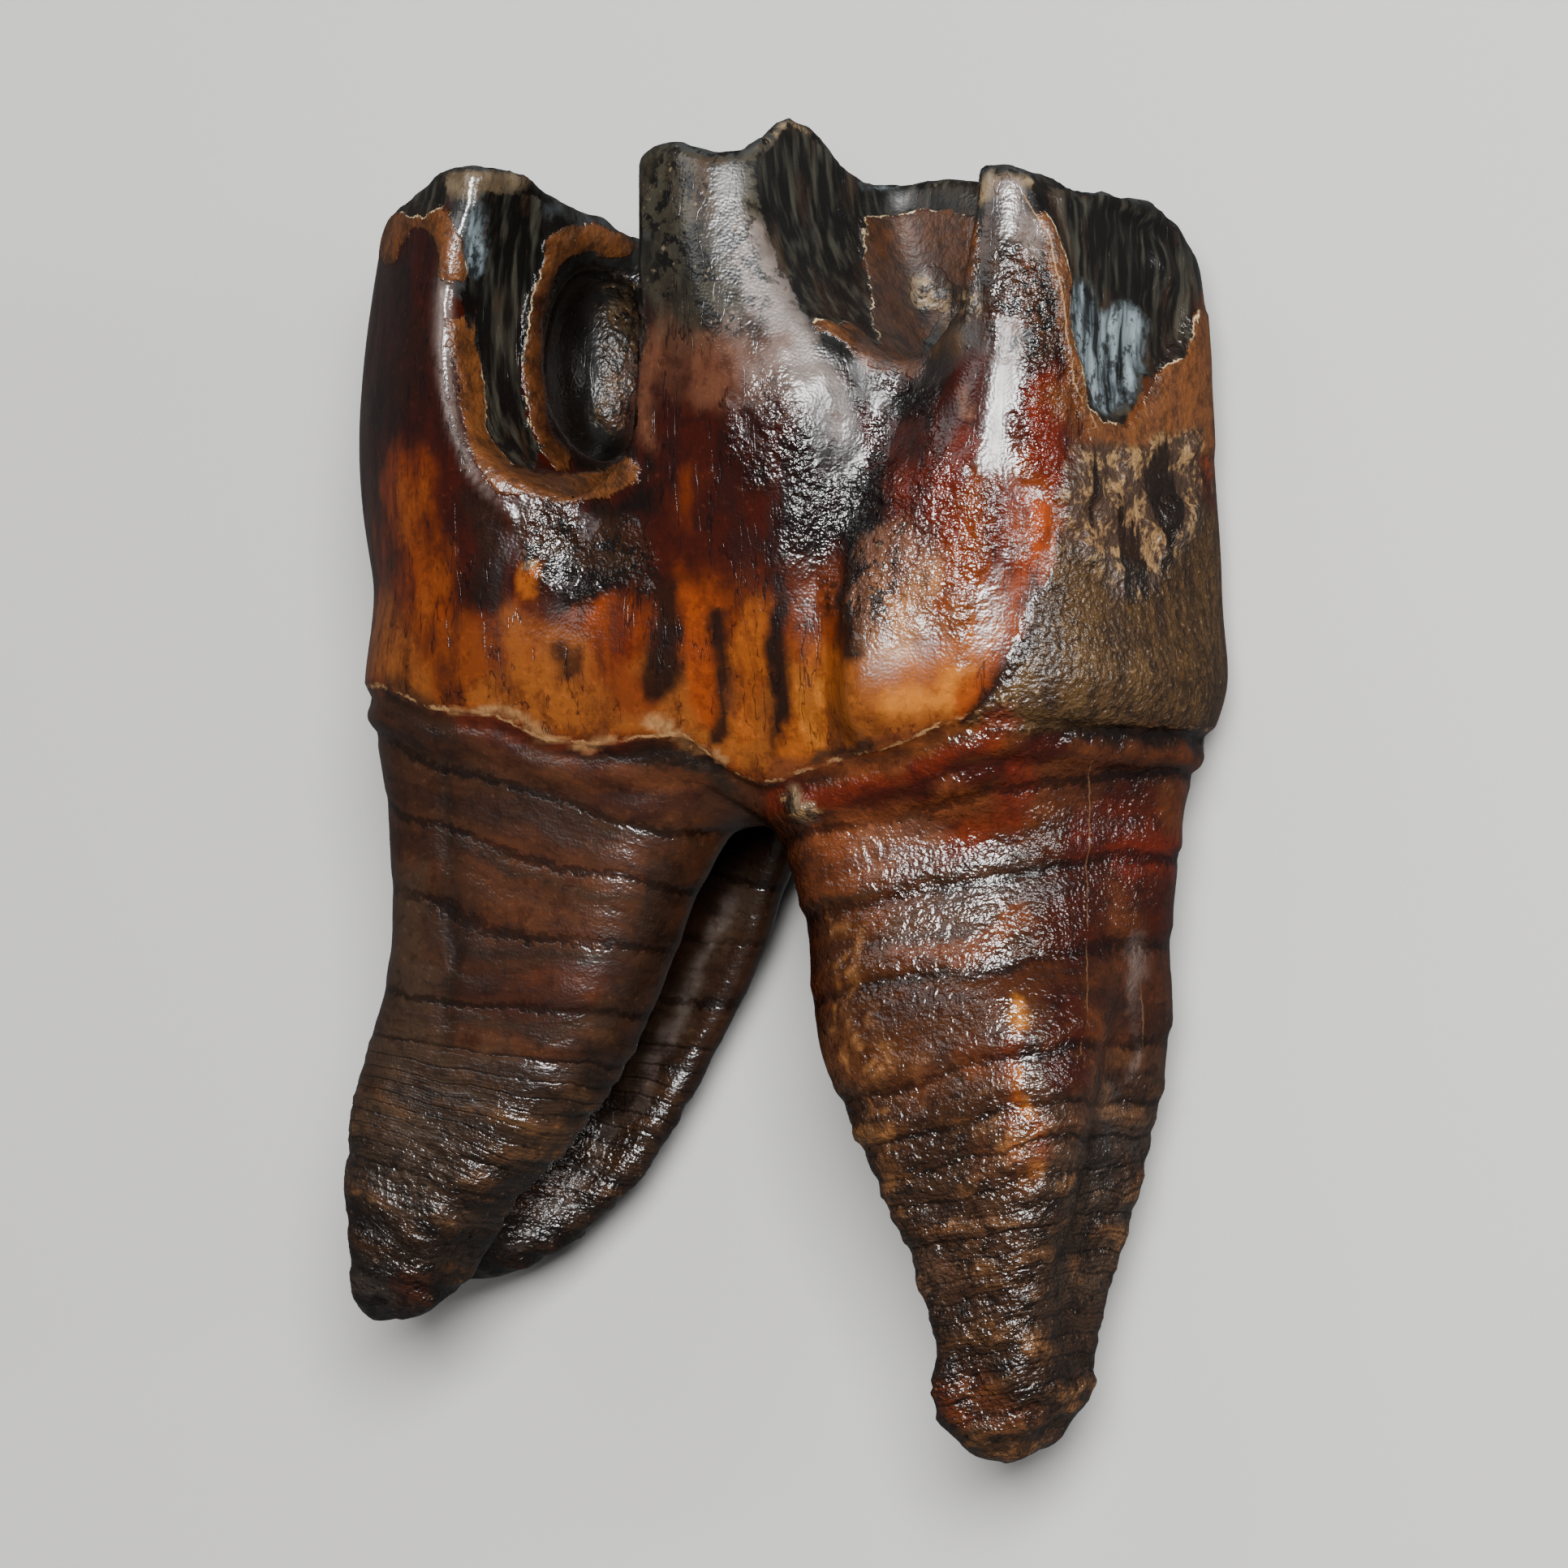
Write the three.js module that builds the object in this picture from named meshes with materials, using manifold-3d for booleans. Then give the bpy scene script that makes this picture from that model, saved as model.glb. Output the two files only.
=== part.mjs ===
// Fossil cheek tooth of a woolly rhinoceros: a left lower molar, lying on its cheek side.
// Millimetres, +Z up. X runs from the back of the tooth (-) to its front (+), Y from the root
// tips (-) to the chewing face (+), and Z from the cheek side (-) to the tongue side (+).
//
// Every face of the tooth is a short curve of its depth against height. The faces are blended
// into one field, negative inside, and each solid is lofted as rings on which its field is zero.

import * as THREE from 'three';
import { mergeVertices } from 'three/addons/utils/BufferGeometryUtils.js';
import Module from 'manifold-3d';

// ---- driving dimensions, mm ------------------------------------------------------------------

const PARTING = 0.3;          // clearance between touching solids
const FORK_X = 1.7;            // where the roots part
const FORK_TOP = -0.4;        // above this height the crown is one whole section
const CERVIX_Y = -0.7;        // lowest point of the border between crown and roots
const CERVIX_FRONT_RISE = THREE.MathUtils.degToRad(16);
const CERVIX_BACK_RISE = THREE.MathUtils.degToRad(11);
const CEMENT_THICK = 1.6;     // cement left on the walls of the two valleys
const CEMENT_INSET = 0.7;     // how far its rim lies below the enamel
const BEYOND = 60;            // half size of cutting blocks, past the tooth on every side

// ---- curves and blends -------------------------------------------------------------------------

// A smooth curve through [t, value] knots, level past both ends.
function curve(...knots) {
  const slopes = knots.map((knot, i) => {
    const before = knots[Math.max(i - 1, 0)];
    const after = knots[Math.min(i + 1, knots.length - 1)];
    return (after[1] - before[1]) / (after[0] - before[0]);
  });
  return (at) => {
    const t = THREE.MathUtils.clamp(at, knots[0][0], knots.at(-1)[0]);
    const i = Math.max(knots.findIndex((knot) => knot[0] >= t) - 1, 0);
    const gap = knots[i + 1][0] - knots[i][0];
    const w = (t - knots[i][0]) / gap;
    return knots[i][1] * (1 + 2 * w) * (1 - w) ** 2 + slopes[i] * gap * w * (1 - w) ** 2
      + knots[i + 1][1] * w * w * (3 - 2 * w) + slopes[i + 1] * gap * w * w * (w - 1);
  };
}

// A smooth step from 0 at one value to 1 at the other, whichever is the greater.
function ramp(t, from, to) {
  const w = THREE.MathUtils.clamp((t - from) / (to - from), 0, 1);
  return w * w * (3 - 2 * w);
}

function bell(t, width) {
  return Math.exp(-((t / width) ** 2));
}

// Intersection and union of two fields, with the edge between them rounded over a width.
function meet(a, b, width) {
  return Math.max(a, b) + Math.max(width - Math.abs(a - b), 0) ** 2 / (4 * width);
}

function join(a, b, width) {
  return -meet(-a, -b, width);
}

// ---- crown -------------------------------------------------------------------------------------

const tongueFace = curve([-4, 9.4], [2, 10.3], [8, 12.0], [14, 12.4], [24, 12.0], [38, 10.5]);
const cheekFace = curve([-4, 11.8], [1, 13.2], [4, 13.7], [11, 13.6], [19, 13.0], [27, 11.9], [38, 9.6]);
const frontFace = curve([-4, 22.6], [2, 23.3], [6, 24.0], [12, 24.4], [20, 24.1], [28, 24.0], [38, 23.0]);
const backFace = curve([-4, 23.4], [2, 23.9], [6, 24.8], [11, 26.0], [18, 27.3], [24, 27.4], [31, 26.4],
  [38, 24.2]);
const bevelFace = curve([-4, 20.2], [6, 21.2], [20, 22.0], [36, 20.4]);

const middleCusp = {
  x: curve([10, 6.0], [20, 4.5], [30, 2.0], [38, 1.2]),
  width: curve([10, 9.0], [20, 7.5], [30, 5.5], [38, 4.6]),
  swell: curve([6, 0], [14, 0.8], [24, 1.8], [36, 1.6]),
};
const frontCuspSwell = curve([8, 0], [18, 0.8], [34, 0.8]);
const backCuspSwell = curve([10, 0], [20, 0.6], [34, 0.6]);
const frontHollow = {
  x: curve([6, 9.5], [14, 11.0], [24, 12.6]),
  depth: curve([4, 0], [10, 0.9], [18, 1.8], [26, 2.2]),
};
const cheekGroove = curve([-4, 3.0], [4, 3.2], [16, 4.5], [36, 5.5]);

// The tongue side: three cusps, a hollow under each valley, and a low bulge at the front.
function tongueSide(x, y) {
  return tongueFace(y)
    + middleCusp.swell(y) * bell(x - middleCusp.x(y), middleCusp.width(y))
    + frontCuspSwell(y) * bell(x - 20.5, 3.0)
    + backCuspSwell(y) * bell(x + 15.5, 4.0)
    - frontHollow.depth(y) * bell(x - frontHollow.x(y), 3.2)
    + 1.0 * bell(x - 14.8, 4.5) * bell(y - 8.5, 4.5)
    - 1.2 * bell(x + 7.5, 4.0) * bell(y - 14, 5.0)
    - 0.9 * bell(x - 3.0, 2.2) * bell(y - 1, 5.0);
}

// The cheek side: two lobes with a groove between them.
function cheekSide(x, y) {
  return cheekFace(y) - cheekGroove(y) * bell(x - 0.5, 5.0) - 0.0035 * (Math.abs(x) - 12.5) ** 2;
}

// The shallow scoop that the next tooth forward has worn into the front face.
function contactScoop(y, z) {
  return 0.9 * bell(y - 24, 6) * bell(z - 2, 4.5);
}

function crownBlock(x, y, z) {
  let field = meet(z - tongueSide(x, y), -cheekSide(x, y) - z, 6);
  field = meet(field, x - frontFace(y) + 0.010 * (z + 6.5) ** 2 + contactScoop(y, z), 6);
  field = meet(field, -x - backFace(y) + 0.006 * (z + 1) ** 2, 6);
  const bevel = -0.70 * x + 0.714 * z - bevelFace(y);
  field = meet(field, bevel, 4);
  return meet(field, 0.8 - y, 7);
}

// The two valleys run in from the tongue side, between the cusps.
const backValleyWall = {
  back: curve([14, -9.0], [16.5, -11.8], [20, -14.6], [24, -16.0], [30, -16.0], [36, -14.6]),
  backLean: curve([14, 1.0], [24, 4.5], [36, 4.0]),
  front: curve([14, -7.0], [17, -4.6], [20, -3.6], [30, -3.4], [38, -3.8]),
};
const frontValleyWall = {
  back: curve([21, 12.0], [24, 10.3], [28, 8.2], [33, 6.0], [38, 5.2]),
  front: curve([21, 13.0], [24, 15.0], [27, 17.6], [32, 18.4], [38, 18.6]),
};

function backValley(x, y, z) {
  const deep = ramp(z, 12, -4);
  const back = backValleyWall.back(y) + backValleyWall.backLean(y) * deep;
  const front = backValleyWall.front(y) - 3.4 * deep;
  const floor = 16.6 + 0.5 * deep - 1.0 * bell(z - 4, 5);
  let field = Math.abs(x - (back + front) / 2) - (front - back) / 2;
  field = meet(field, floor - y, 5);
  return meet(field, -4.0 - z + 0.10 * (36 - y), 3);
}

function frontValley(x, y, z) {
  const deep = ramp(z, 12, -3);
  const back = frontValleyWall.back(y) - 0.6 * deep;
  const front = frontValleyWall.front(y) - 1.5 * deep;
  const floor = 24.0 - 1.2 * bell(z - 3, 5);
  let field = Math.abs(x - (back + front) / 2) - (front - back) / 2;
  field = meet(field, floor - y, 4);
  return meet(field, -2.6 - z + 0.06 * (36 - y), 3);
}

// Height of the worn chewing face: it slopes to the cheek side, with a peak on the middle cusp.
const wornSlope = curve([-14, 27.5], [-9, 31.6], [-3, 34.4], [4, 35.0], [12, 35.4]);
const frontEdgeDrop = curve([18, 0], [20.5, 0.8], [23, 3.2], [26, 9.0]);
const backEdgeDrop = curve([-27, 4.0], [-24, 2.4], [-20, 0.6], [-17, 0]);

function wornTop(x, z) {
  return wornSlope(z)
    + 1.2 * bell(x + 14, 3.5) * ramp(z, 4, 9)
    + 1.4 * bell(x - 8, 6) * bell(z + 4, 4)
    - 2.2 * ramp(x, -3, -14) * ramp(z, 6, -6)
    + 2.7 * bell(x - 5, 2.6) * ramp(z, -3, 9)
    + 1.2 * bell(x + 0.5, 4.5) * ramp(z, 2, 10)
    - frontEdgeDrop(x)
    - backEdgeDrop(x);
}

// ---- roots -------------------------------------------------------------------------------------

const backRoot = {
  back: curve([-34, -26.6], [-28.5, -26.5], [-24, -26.7], [-20, -26.4], [-16, -25.2], [-12, -23.9],
    [-8, -23.4], [0, -24.0], [6, -24.6]),
  tongueLimb: curve([-34, -21.5], [-28.5, -19.0], [-25.6, -16.6], [-22.8, -13.4], [-19.9, -10.4],
    [-16, -7.4], [-11, -4.9], [-7, -3.4], [-3, -1.2], [2, 3.0]),
  cheekLimb: curve([-34, -24.0], [-30.4, -21.0], [-28.5, -17.8], [-25.6, -14.2], [-22.3, -11.2],
    [-15.6, -7.2], [-10.3, -4.4], [-5.7, -2.8], [0, 0]),
  cheek: curve([-34, 6.5], [-28, 9.4], [-20, 10.6], [-10, 11.2], [0, 11.8]),
  tongue: curve([-34, 6.0], [-28, 7.6], [-20, 9.0], [-10, 9.7], [0, 9.9]),
  tip: curve([-12, -26.0], [-7, -31.0], [-2, -29.0], [4, -32.6], [8, -31.0], [11, -26.0]),
  web: curve([-34, -22.0], [-28, -21.5], [-20, -19.0], [-10, -16.5], [-2, -12.0], [2, -6.0]),
  grooveHalf: curve([-34, 2.4], [-24, 4.2], [-12, 5.2], [0, 4.2]),
};
const frontRoot = {
  back: curve([-40, 11.8], [-37, 10.9], [-35.2, 11.5], [-33, 11.3], [-28, 10.2], [-22.3, 7.9],
    [-15.6, 5.0], [-9.3, 3.4], [-6, 2.4], [-1, 0.2], [3, -3.0]),
  front: curve([-40, 17.0], [-38, 17.4], [-35.7, 18.2], [-32.8, 18.6], [-27.6, 19.4], [-23.7, 20.5],
    [-17, 21.8], [-8, 22.9], [-1, 23.6], [6, 24.6]),
  cheek: curve([-40, 3.5], [-36, 4.6], [-28, 7.4], [-20, 9.4], [-10, 10.6], [0, 11.6]),
  tongue: curve([-40, 3.6], [-36, 4.6], [-28, 6.4], [-20, 8.4], [-10, 9.6], [0, 9.9]),
  hollowHalf: curve([-40, 1.0], [-24, 3.2], [-8, 5.0], [0, 4.0]),
  hollowEnd: curve([-40, 8.0], [-26, 10.4], [-16, 7.6], [-8, 6.0], [0, 3.0]),
  furrow: curve([-34, 0], [-26, 1.2], [-16, 1.2], [-4, 0.2]),
};

// A rounded rectangle between two limits on each axis; a higher power squares its corners.
function oval(x, z, back, front, cheek, tongue, power) {
  const halfX = (front - back) / 2;
  const halfZ = (tongue - cheek) / 2;
  const alongX = Math.abs((x - back - halfX) / halfX) ** power;
  const alongZ = Math.abs((z - cheek - halfZ) / halfZ) ** power;
  return ((alongX + alongZ) ** (1 / power) - 1) * Math.min(halfX, halfZ);
}

// The back root is a plate with a limb at each side. The cheek limb is the narrower one.
function backRootBlock(x, y, z) {
  const limb = ramp(z, -6, 5);
  const front = backRoot.cheekLimb(y) + (backRoot.tongueLimb(y) - backRoot.cheekLimb(y)) * limb;
  const section = oval(x, z, backRoot.back(y), front, -backRoot.cheek(y), backRoot.tongue(y), 3);
  return meet(section, y - 9, 6);
}

// The worn-off ends of its two limbs, the tongue limb reaching lower.
function backRootTip(x, z) {
  return backRoot.tip(z) + 0.12 * (x + 25);
}

function backRootGroove(x, y, z) {
  const half = backRoot.grooveHalf(y) * (1 - 0.25 * ramp(x, -14, -22));
  const field = meet(Math.abs(z + 1.5) - half, backRoot.web(y) - x, 5);
  return meet(field, y - 1, 4);
}

// The front root is a cone, hollowed toward the fork and furrowed down its front face.
function frontRootBlock(x, y, z) {
  const section = oval(x, z, frontRoot.back(y), frontRoot.front(y), -frontRoot.cheek(y),
    frontRoot.tongue(y), 2.8);
  let field = meet(section, -39.4 - y + 0.03 * (x - 14) ** 2, 3.5);
  field = meet(field, y - 9, 6);
  let hollow = meet(Math.abs(z + 0.5) - frontRoot.hollowHalf(y), x - frontRoot.hollowEnd(y), 5);
  hollow = meet(hollow, y - 0.5, 4);
  return meet(field, -hollow, 2) + frontRoot.furrow(y) * bell(z, 3.2) * ramp(x, 14, 20);
}

// Crown and both roots as one body, before the valleys, the wear and the back root's groove.
function wholeTooth(x, y, z) {
  return join(join(crownBlock(x, y, z), backRootBlock(x, y, z), 4), frontRootBlock(x, y, z), 4);
}

// ---- solids from fields --------------------------------------------------------------------------

const wasm = await Module();
wasm.setup();

function toManifold(geometry) {
  geometry.deleteAttribute('normal');
  geometry.deleteAttribute('uv');
  const merged = mergeVertices(geometry);
  return new wasm.Manifold(new wasm.Mesh({
    numProp: 3,
    vertProperties: merged.attributes.position.array,
    triVerts: new Uint32Array(merged.index.array),
  }));
}

// How far a ray from (x, z) at height y runs before it leaves the field.
function reach(field, x, y, z, dirX, dirZ) {
  const STEP = 0.5;
  let inside = 0;
  while (inside < BEYOND && field(x + dirX * inside, y, z + dirZ * inside) < 0) inside += STEP;
  let near = Math.max(inside - STEP, 0);
  let far = inside;
  for (let halving = 0; halving < 20; halving += 1) {
    const middle = (near + far) / 2;
    if (field(x + dirX * middle, y, z + dirZ * middle) < 0) near = middle;
    else far = middle;
  }
  return near;
}

// A closed body of rings. The first and last heights are the two pole points; `axis` gives the
// middle of the ring at a height, and `spread` the ellipse that spaces the rays around it.
function loft(field, { heights, axis, sides, spread }) {
  const points = [];
  const faces = [];
  const last = heights.length - 1;
  heights.forEach((y, row) => {
    const [x, z] = axis(y);
    const count = row === 0 || row === last ? 1 : sides;
    for (let i = 0; i < count; i += 1) {
      const angle = (i / sides) * 2 * Math.PI;
      const ray = new THREE.Vector2(spread[0] * Math.cos(angle), spread[1] * Math.sin(angle));
      ray.normalize();
      const radius = count === 1 ? 0 : reach(field, x, y, z, ray.x, ray.y);
      points.push(x + ray.x * radius, y, z + ray.y * radius);
    }
  });
  const ring = (row, i) => 1 + (row - 1) * sides + (i % sides);
  const topPole = points.length / 3 - 1;
  for (let i = 0; i < sides; i += 1) {
    faces.push(0, ring(1, i), ring(1, i + 1));
    for (let row = 1; row < last - 1; row += 1) {
      faces.push(ring(row, i), ring(row + 1, i), ring(row + 1, i + 1));
      faces.push(ring(row, i), ring(row + 1, i + 1), ring(row, i + 1));
    }
    faces.push(topPole, ring(last - 1, i + 1), ring(last - 1, i));
  }
  const geometry = new THREE.BufferGeometry();
  geometry.setAttribute('position', new THREE.Float32BufferAttribute(points, 3));
  geometry.setIndex(faces);
  return toManifold(geometry);
}

// Heights from one value to another in equal steps.
function steps(from, to, count) {
  return Array.from({ length: count + 1 }, (_, i) => from + ((to - from) * i) / count);
}

// A block whose lower face is the plane through a point, tilted about Z.
function blockAbove(x, y, tilt) {
  const block = new THREE.BoxGeometry(2 * BEYOND, BEYOND, 2 * BEYOND);
  block.translate(0, BEYOND / 2, 0);
  block.rotateZ(tilt);
  block.translate(x, y, 0);
  return toManifold(block);
}

// A block between a plane and a curved face given as a height over x and z.
function blockBetween(plane, surface) {
  const block = new THREE.BoxGeometry(58, 10, 34, 29, 1, 17);
  const { position } = block.attributes;
  const curvedSide = Math.sign(-plane);
  for (let i = 0; i < position.count; i += 1) {
    const isCurved = position.getY(i) * curvedSide > 0;
    position.setY(i, isCurved ? surface(position.getX(i), position.getZ(i)) : plane);
  }
  return toManifold(block);
}

// ---- the five solids -------------------------------------------------------------------------------

const aboveFrontBorder = blockAbove(FORK_X, CERVIX_Y, CERVIX_FRONT_RISE);
const aboveBackBorder = blockAbove(FORK_X, CERVIX_Y, -CERVIX_BACK_RISE);
const rootsBelow = (rise) => blockAbove(FORK_X, CERVIX_Y - PARTING / Math.cos(rise), rise);

const VALLEY_MOUTH = 18;
const crownRings = {
  heights: [-3, -2, FORK_TOP, 1, 2.5, 4, 11, 15, 18.5, 22, 25.5, 29, 32, 35, 38.5, 40],
  axis: () => [0, -1],
  sides: 48,
  spread: [26, 13],
};
const backValleyRings = {
  heights: [14.8, 15.9, 16.8, 18.2, 20, 22.5, 26, 31, 36, 42],
  axis: (y) => [(backValleyWall.back(y) + backValleyWall.front(y)) / 2 + 0.4, 4],
  sides: 28,
  spread: [6, 10],
};
const frontValleyRings = {
  heights: [22.3, 23.2, 24, 25.2, 27, 29.5, 33, 37, 42],
  axis: (y) => [(frontValleyWall.back(y) + frontValleyWall.front(y)) / 2 - 0.5, 4],
  sides: 28,
  spread: [6, 10],
};

// A valley grown or shrunk by an offset, closed off past the tongue side.
function valleyCut(valley, rings, offset) {
  return loft((x, y, z) => Math.max(valley(x, y, z) + offset, z - VALLEY_MOUTH), rings);
}

// Below the fork the crown's section goes straight down, to be cut off along the border.
function wholeCrown(x, y, z) {
  return wholeTooth(x, Math.max(y, FORK_TOP), z);
}

function makeCrown() {
  return loft(wholeCrown, crownRings)
    .intersect(aboveFrontBorder)
    .intersect(aboveBackBorder)
    .subtract(blockBetween(BEYOND, wornTop))
    .subtract(valleyCut(backValley, backValleyRings, 0))
    .subtract(valleyCut(frontValley, frontValleyRings, 0));
}

function makeCement(valley, rings) {
  return loft((x, y, z) => wholeCrown(x, y, z) + CEMENT_INSET, crownRings)
    .intersect(valleyCut(valley, rings, PARTING))
    .subtract(blockBetween(BEYOND, (x, z) => wornTop(x, z) - CEMENT_INSET))
    .subtract(valleyCut(valley, rings, PARTING + CEMENT_THICK));
}

function makeFrontRoot() {
  const field = (x, y, z) => Math.max(wholeTooth(x, y, z), FORK_X + PARTING / 2 - x);
  return loft(field, {
    heights: [-39.9, -39.4, -38, ...steps(-36, -3, 14), -1.6, FORK_TOP, 1, 2.5, 4, 6.5, 9],
    axis: curveAxis([-40, 14.2], [-30, 14.6], [-16, 13.4], [0, 13]),
    sides: 36,
    spread: [10, 11],
  }).subtract(rootsBelow(CERVIX_FRONT_RISE));
}

function makeBackRoot() {
  const field = (x, y, z) => Math.max(wholeTooth(x, y, z), x - FORK_X + PARTING / 2);
  const groove = (x, y, z) => Math.max(backRootGroove(x, y, z), x - BEYOND / 4);
  return loft(field, {
    heights: [-37, -36, -33, ...steps(-31, -3, 12), -1.6, FORK_TOP, 1, 2.5, 4, 6.5, 9],
    axis: curveAxis([-33, -24.5], [-28, -22.5], [-16, -16], [-6, -13], [4, -12]),
    sides: 36,
    spread: [10, 11],
  })
    .subtract(loft(groove, {
      heights: [-40, -39.5, ...steps(-34, -3, 10), -1.6, -0.6, -0.2],
      axis: curveAxis([-40, -12], [-20, -8], [0, 2]),
      sides: 24,
      spread: [12, 5],
    }))
    .subtract(blockBetween(-BEYOND, backRootTip))
    .subtract(rootsBelow(-CERVIX_BACK_RISE));
}

// The middle line of a root: x follows a curve of height, z stays just off the centre.
function curveAxis(...knots) {
  const x = curve(...knots);
  return (y) => [x(y), -1];
}

// ---- materials and scene graph --------------------------------------------------------------------

const enamel = new THREE.MeshStandardMaterial({ color: 0x5e4030, roughness: 0.22, metalness: 0 });
const dentine = new THREE.MeshStandardMaterial({ color: 0x5a3a24, roughness: 0.35, metalness: 0 });
const cement = new THREE.MeshStandardMaterial({ color: 0x8a5f38, roughness: 0.6, metalness: 0 });

const group = new THREE.Group();

function addNode(name, solid, material) {
  const { vertProperties, triVerts } = solid.getMesh();
  const geometry = new THREE.BufferGeometry();
  geometry.setAttribute('position', new THREE.Float32BufferAttribute(vertProperties, 3));
  geometry.setIndex(new THREE.Uint32BufferAttribute(triVerts, 1));
  geometry.computeVertexNormals();
  const mesh = new THREE.Mesh(geometry, material);
  mesh.name = name;
  group.add(mesh);
}

addNode('crown', makeCrown(), enamel);
addNode('root_front', makeFrontRoot(), dentine);
addNode('root_back', makeBackRoot(), dentine);
addNode('cement_front_valley', makeCement(frontValley, frontValleyRings), cement);
addNode('cement_back_valley', makeCement(backValley, backValleyRings), cement);

// The two cheek lobes carry the tooth. The middle of its footprint is the origin.
const box = new THREE.Box3().setFromObject(group, true);
const middle = box.getCenter(new THREE.Vector3());
group.position.set(-middle.x, -middle.y, -box.min.z);

export default group;
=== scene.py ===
import bpy
import numpy as np
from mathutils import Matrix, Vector


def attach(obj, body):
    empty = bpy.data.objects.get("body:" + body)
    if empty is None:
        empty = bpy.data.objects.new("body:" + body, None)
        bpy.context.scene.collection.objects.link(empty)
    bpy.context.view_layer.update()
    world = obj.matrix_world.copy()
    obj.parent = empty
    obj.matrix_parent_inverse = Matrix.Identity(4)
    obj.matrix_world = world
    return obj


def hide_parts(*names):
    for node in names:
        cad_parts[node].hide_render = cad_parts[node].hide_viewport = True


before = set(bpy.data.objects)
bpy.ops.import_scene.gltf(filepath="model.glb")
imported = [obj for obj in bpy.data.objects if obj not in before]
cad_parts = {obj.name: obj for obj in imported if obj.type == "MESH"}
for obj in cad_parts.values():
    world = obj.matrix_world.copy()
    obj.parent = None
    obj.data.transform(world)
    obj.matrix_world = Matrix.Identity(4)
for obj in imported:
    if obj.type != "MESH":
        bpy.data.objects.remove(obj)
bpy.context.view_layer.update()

# ---- the crown ------------------------------------------------------------------------------------
# The crown of a rhinoceros's lower cheek tooth: dentine under enamel, grown in one piece with the
# roots. Two crests cross it, the valleys between them open to the tongue side, and the chewing
# face is worn to a slope.

# All lengths are millimetres in the tooth's own axes: x to its front, y up to the chewing face,
# z to the tongue side. The solids' frame has the same directions, moved by TO_ROW.
TO_ROW = np.array([1.229, 0.535, 13.608])


def curve(*knots):
    """A smooth curve through (t, value) knots, level past both ends, as a function of t."""
    at, value = np.array(knots, float).T
    slope = np.empty_like(value)
    slope[1:-1] = (value[2:] - value[:-2]) / (at[2:] - at[:-2])
    slope[[0, -1]] = np.diff(value)[[0, -1]] / np.diff(at)[[0, -1]]

    def follow(t):
        t = np.clip(t, at[0], at[-1])
        i = np.clip(np.searchsorted(at, t) - 1, 0, len(at) - 2)
        gap = at[i + 1] - at[i]
        w = (t - at[i]) / gap
        start = value[i] * (1 + 2 * w) * (1 - w) ** 2 + slope[i] * gap * w * (1 - w) ** 2
        return start + value[i + 1] * w * w * (3 - 2 * w) + slope[i + 1] * gap * w * w * (w - 1)

    return follow


def ramp(t, start, end):
    """A smooth step from 0 at start to 1 at end, whichever is the greater."""
    w = np.clip((t - start) / (end - start), 0, 1)
    return w * w * (3 - 2 * w)


def bell(t, width):
    """One at 0, falling off on both sides by the normal curve: e to the minus (t / width) squared."""
    return np.exp(-((t / width) ** 2))


def meet(a, b, width):
    """Intersection of two fields, its edge rounded over a width: the greater, raised near a tie."""
    return np.maximum(a, b) + np.maximum(width - np.abs(a - b), 0) ** 2 / (4 * width)


def cell_value(i, j, k, seed):
    """A fixed random number from -1 to 1 for each whole-number cell."""
    mixed = (i * 374761393 + j * 668265263 + k * 2147483647 + seed * 1274126177) & 0xFFFFFFFF
    mixed = ((mixed ^ (mixed >> 13)) * 1103515245) & 0xFFFFFFFF
    mixed = ((mixed ^ (mixed >> 16)) * 1540483477) & 0xFFFFFFFF
    return ((mixed >> 8) & 0xFFFF) / 32767.5 - 1


def noise(x, y, z, size, seed, octaves=3):
    """Smooth noise from about -1 to 1 with lumps of one size, each octave half the size and height."""
    total, height = 0, 1
    size = np.broadcast_to(size, 3).astype(float)
    for octave in range(octaves):
        places = [axis / length for axis, length in zip((x, y, z), size)]
        low = [np.floor(place).astype(np.int64) for place in places]
        blend = [ramp(place - start, 0, 1) for place, start in zip(places, low)]
        value = 0
        for corner in range(8):
            step = (corner & 1, corner >> 1 & 1, corner >> 2)
            weight = 1
            for axis in range(3):
                weight = weight * (blend[axis] if step[axis] else 1 - blend[axis])
            cell = [low[axis] + step[axis] for axis in range(3)]
            value = value + weight * cell_value(*cell, seed + octave)
        total = total + height * value
        size, height = size / 2, height / 2
    return total


# depth of each face against height: tongue side, cheek side, front and back, and the corner that
# is cut off between back and tongue side
tongue_face = curve((-4, 9.4), (2, 10.3), (8, 12.0), (14, 12.4), (24, 12.0), (38, 10.5))
cheek_face = curve((-4, 11.8), (1, 13.2), (4, 13.7), (11, 13.6), (19, 13.0), (27, 11.9), (38, 9.6))
front_face = curve((-4, 22.6), (2, 23.3), (6, 24.0), (12, 24.4), (20, 24.1), (28, 24.0), (38, 23.0))
back_face = curve((-4, 23.4), (2, 23.9), (6, 24.8), (11, 26.1), (18, 27.7), (24, 27.9), (31, 27.0),
                  (38, 25.2))
bevel_face = curve((-4, 20.2), (6, 21.2), (20, 22.0), (36, 20.4))
middle_cusp_x = curve((10, 6.0), (20, 4.2), (30, 0.6), (38, -0.4))
middle_cusp_width = curve((10, 9.0), (20, 6.4), (28, 4.4), (38, 3.8))
middle_cusp_swell = curve((6, 0), (14, 0.8), (22, 1.8), (30, 2.2), (38, 2.0))
front_cusp_swell = curve((8, 0), (18, 0.8), (34, 0.8))
back_cusp_swell = curve((10, 0), (20, 0.6), (34, 0.6))
front_hollow_x = curve((6, 8.0), (14, 9.3), (24, 12.6))
front_hollow_width = curve((6, 2.0), (14, 2.3), (24, 3.2))
front_hollow_depth = curve((4, 0), (10, 0.9), (18, 1.8), (26, 2.2))
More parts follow.
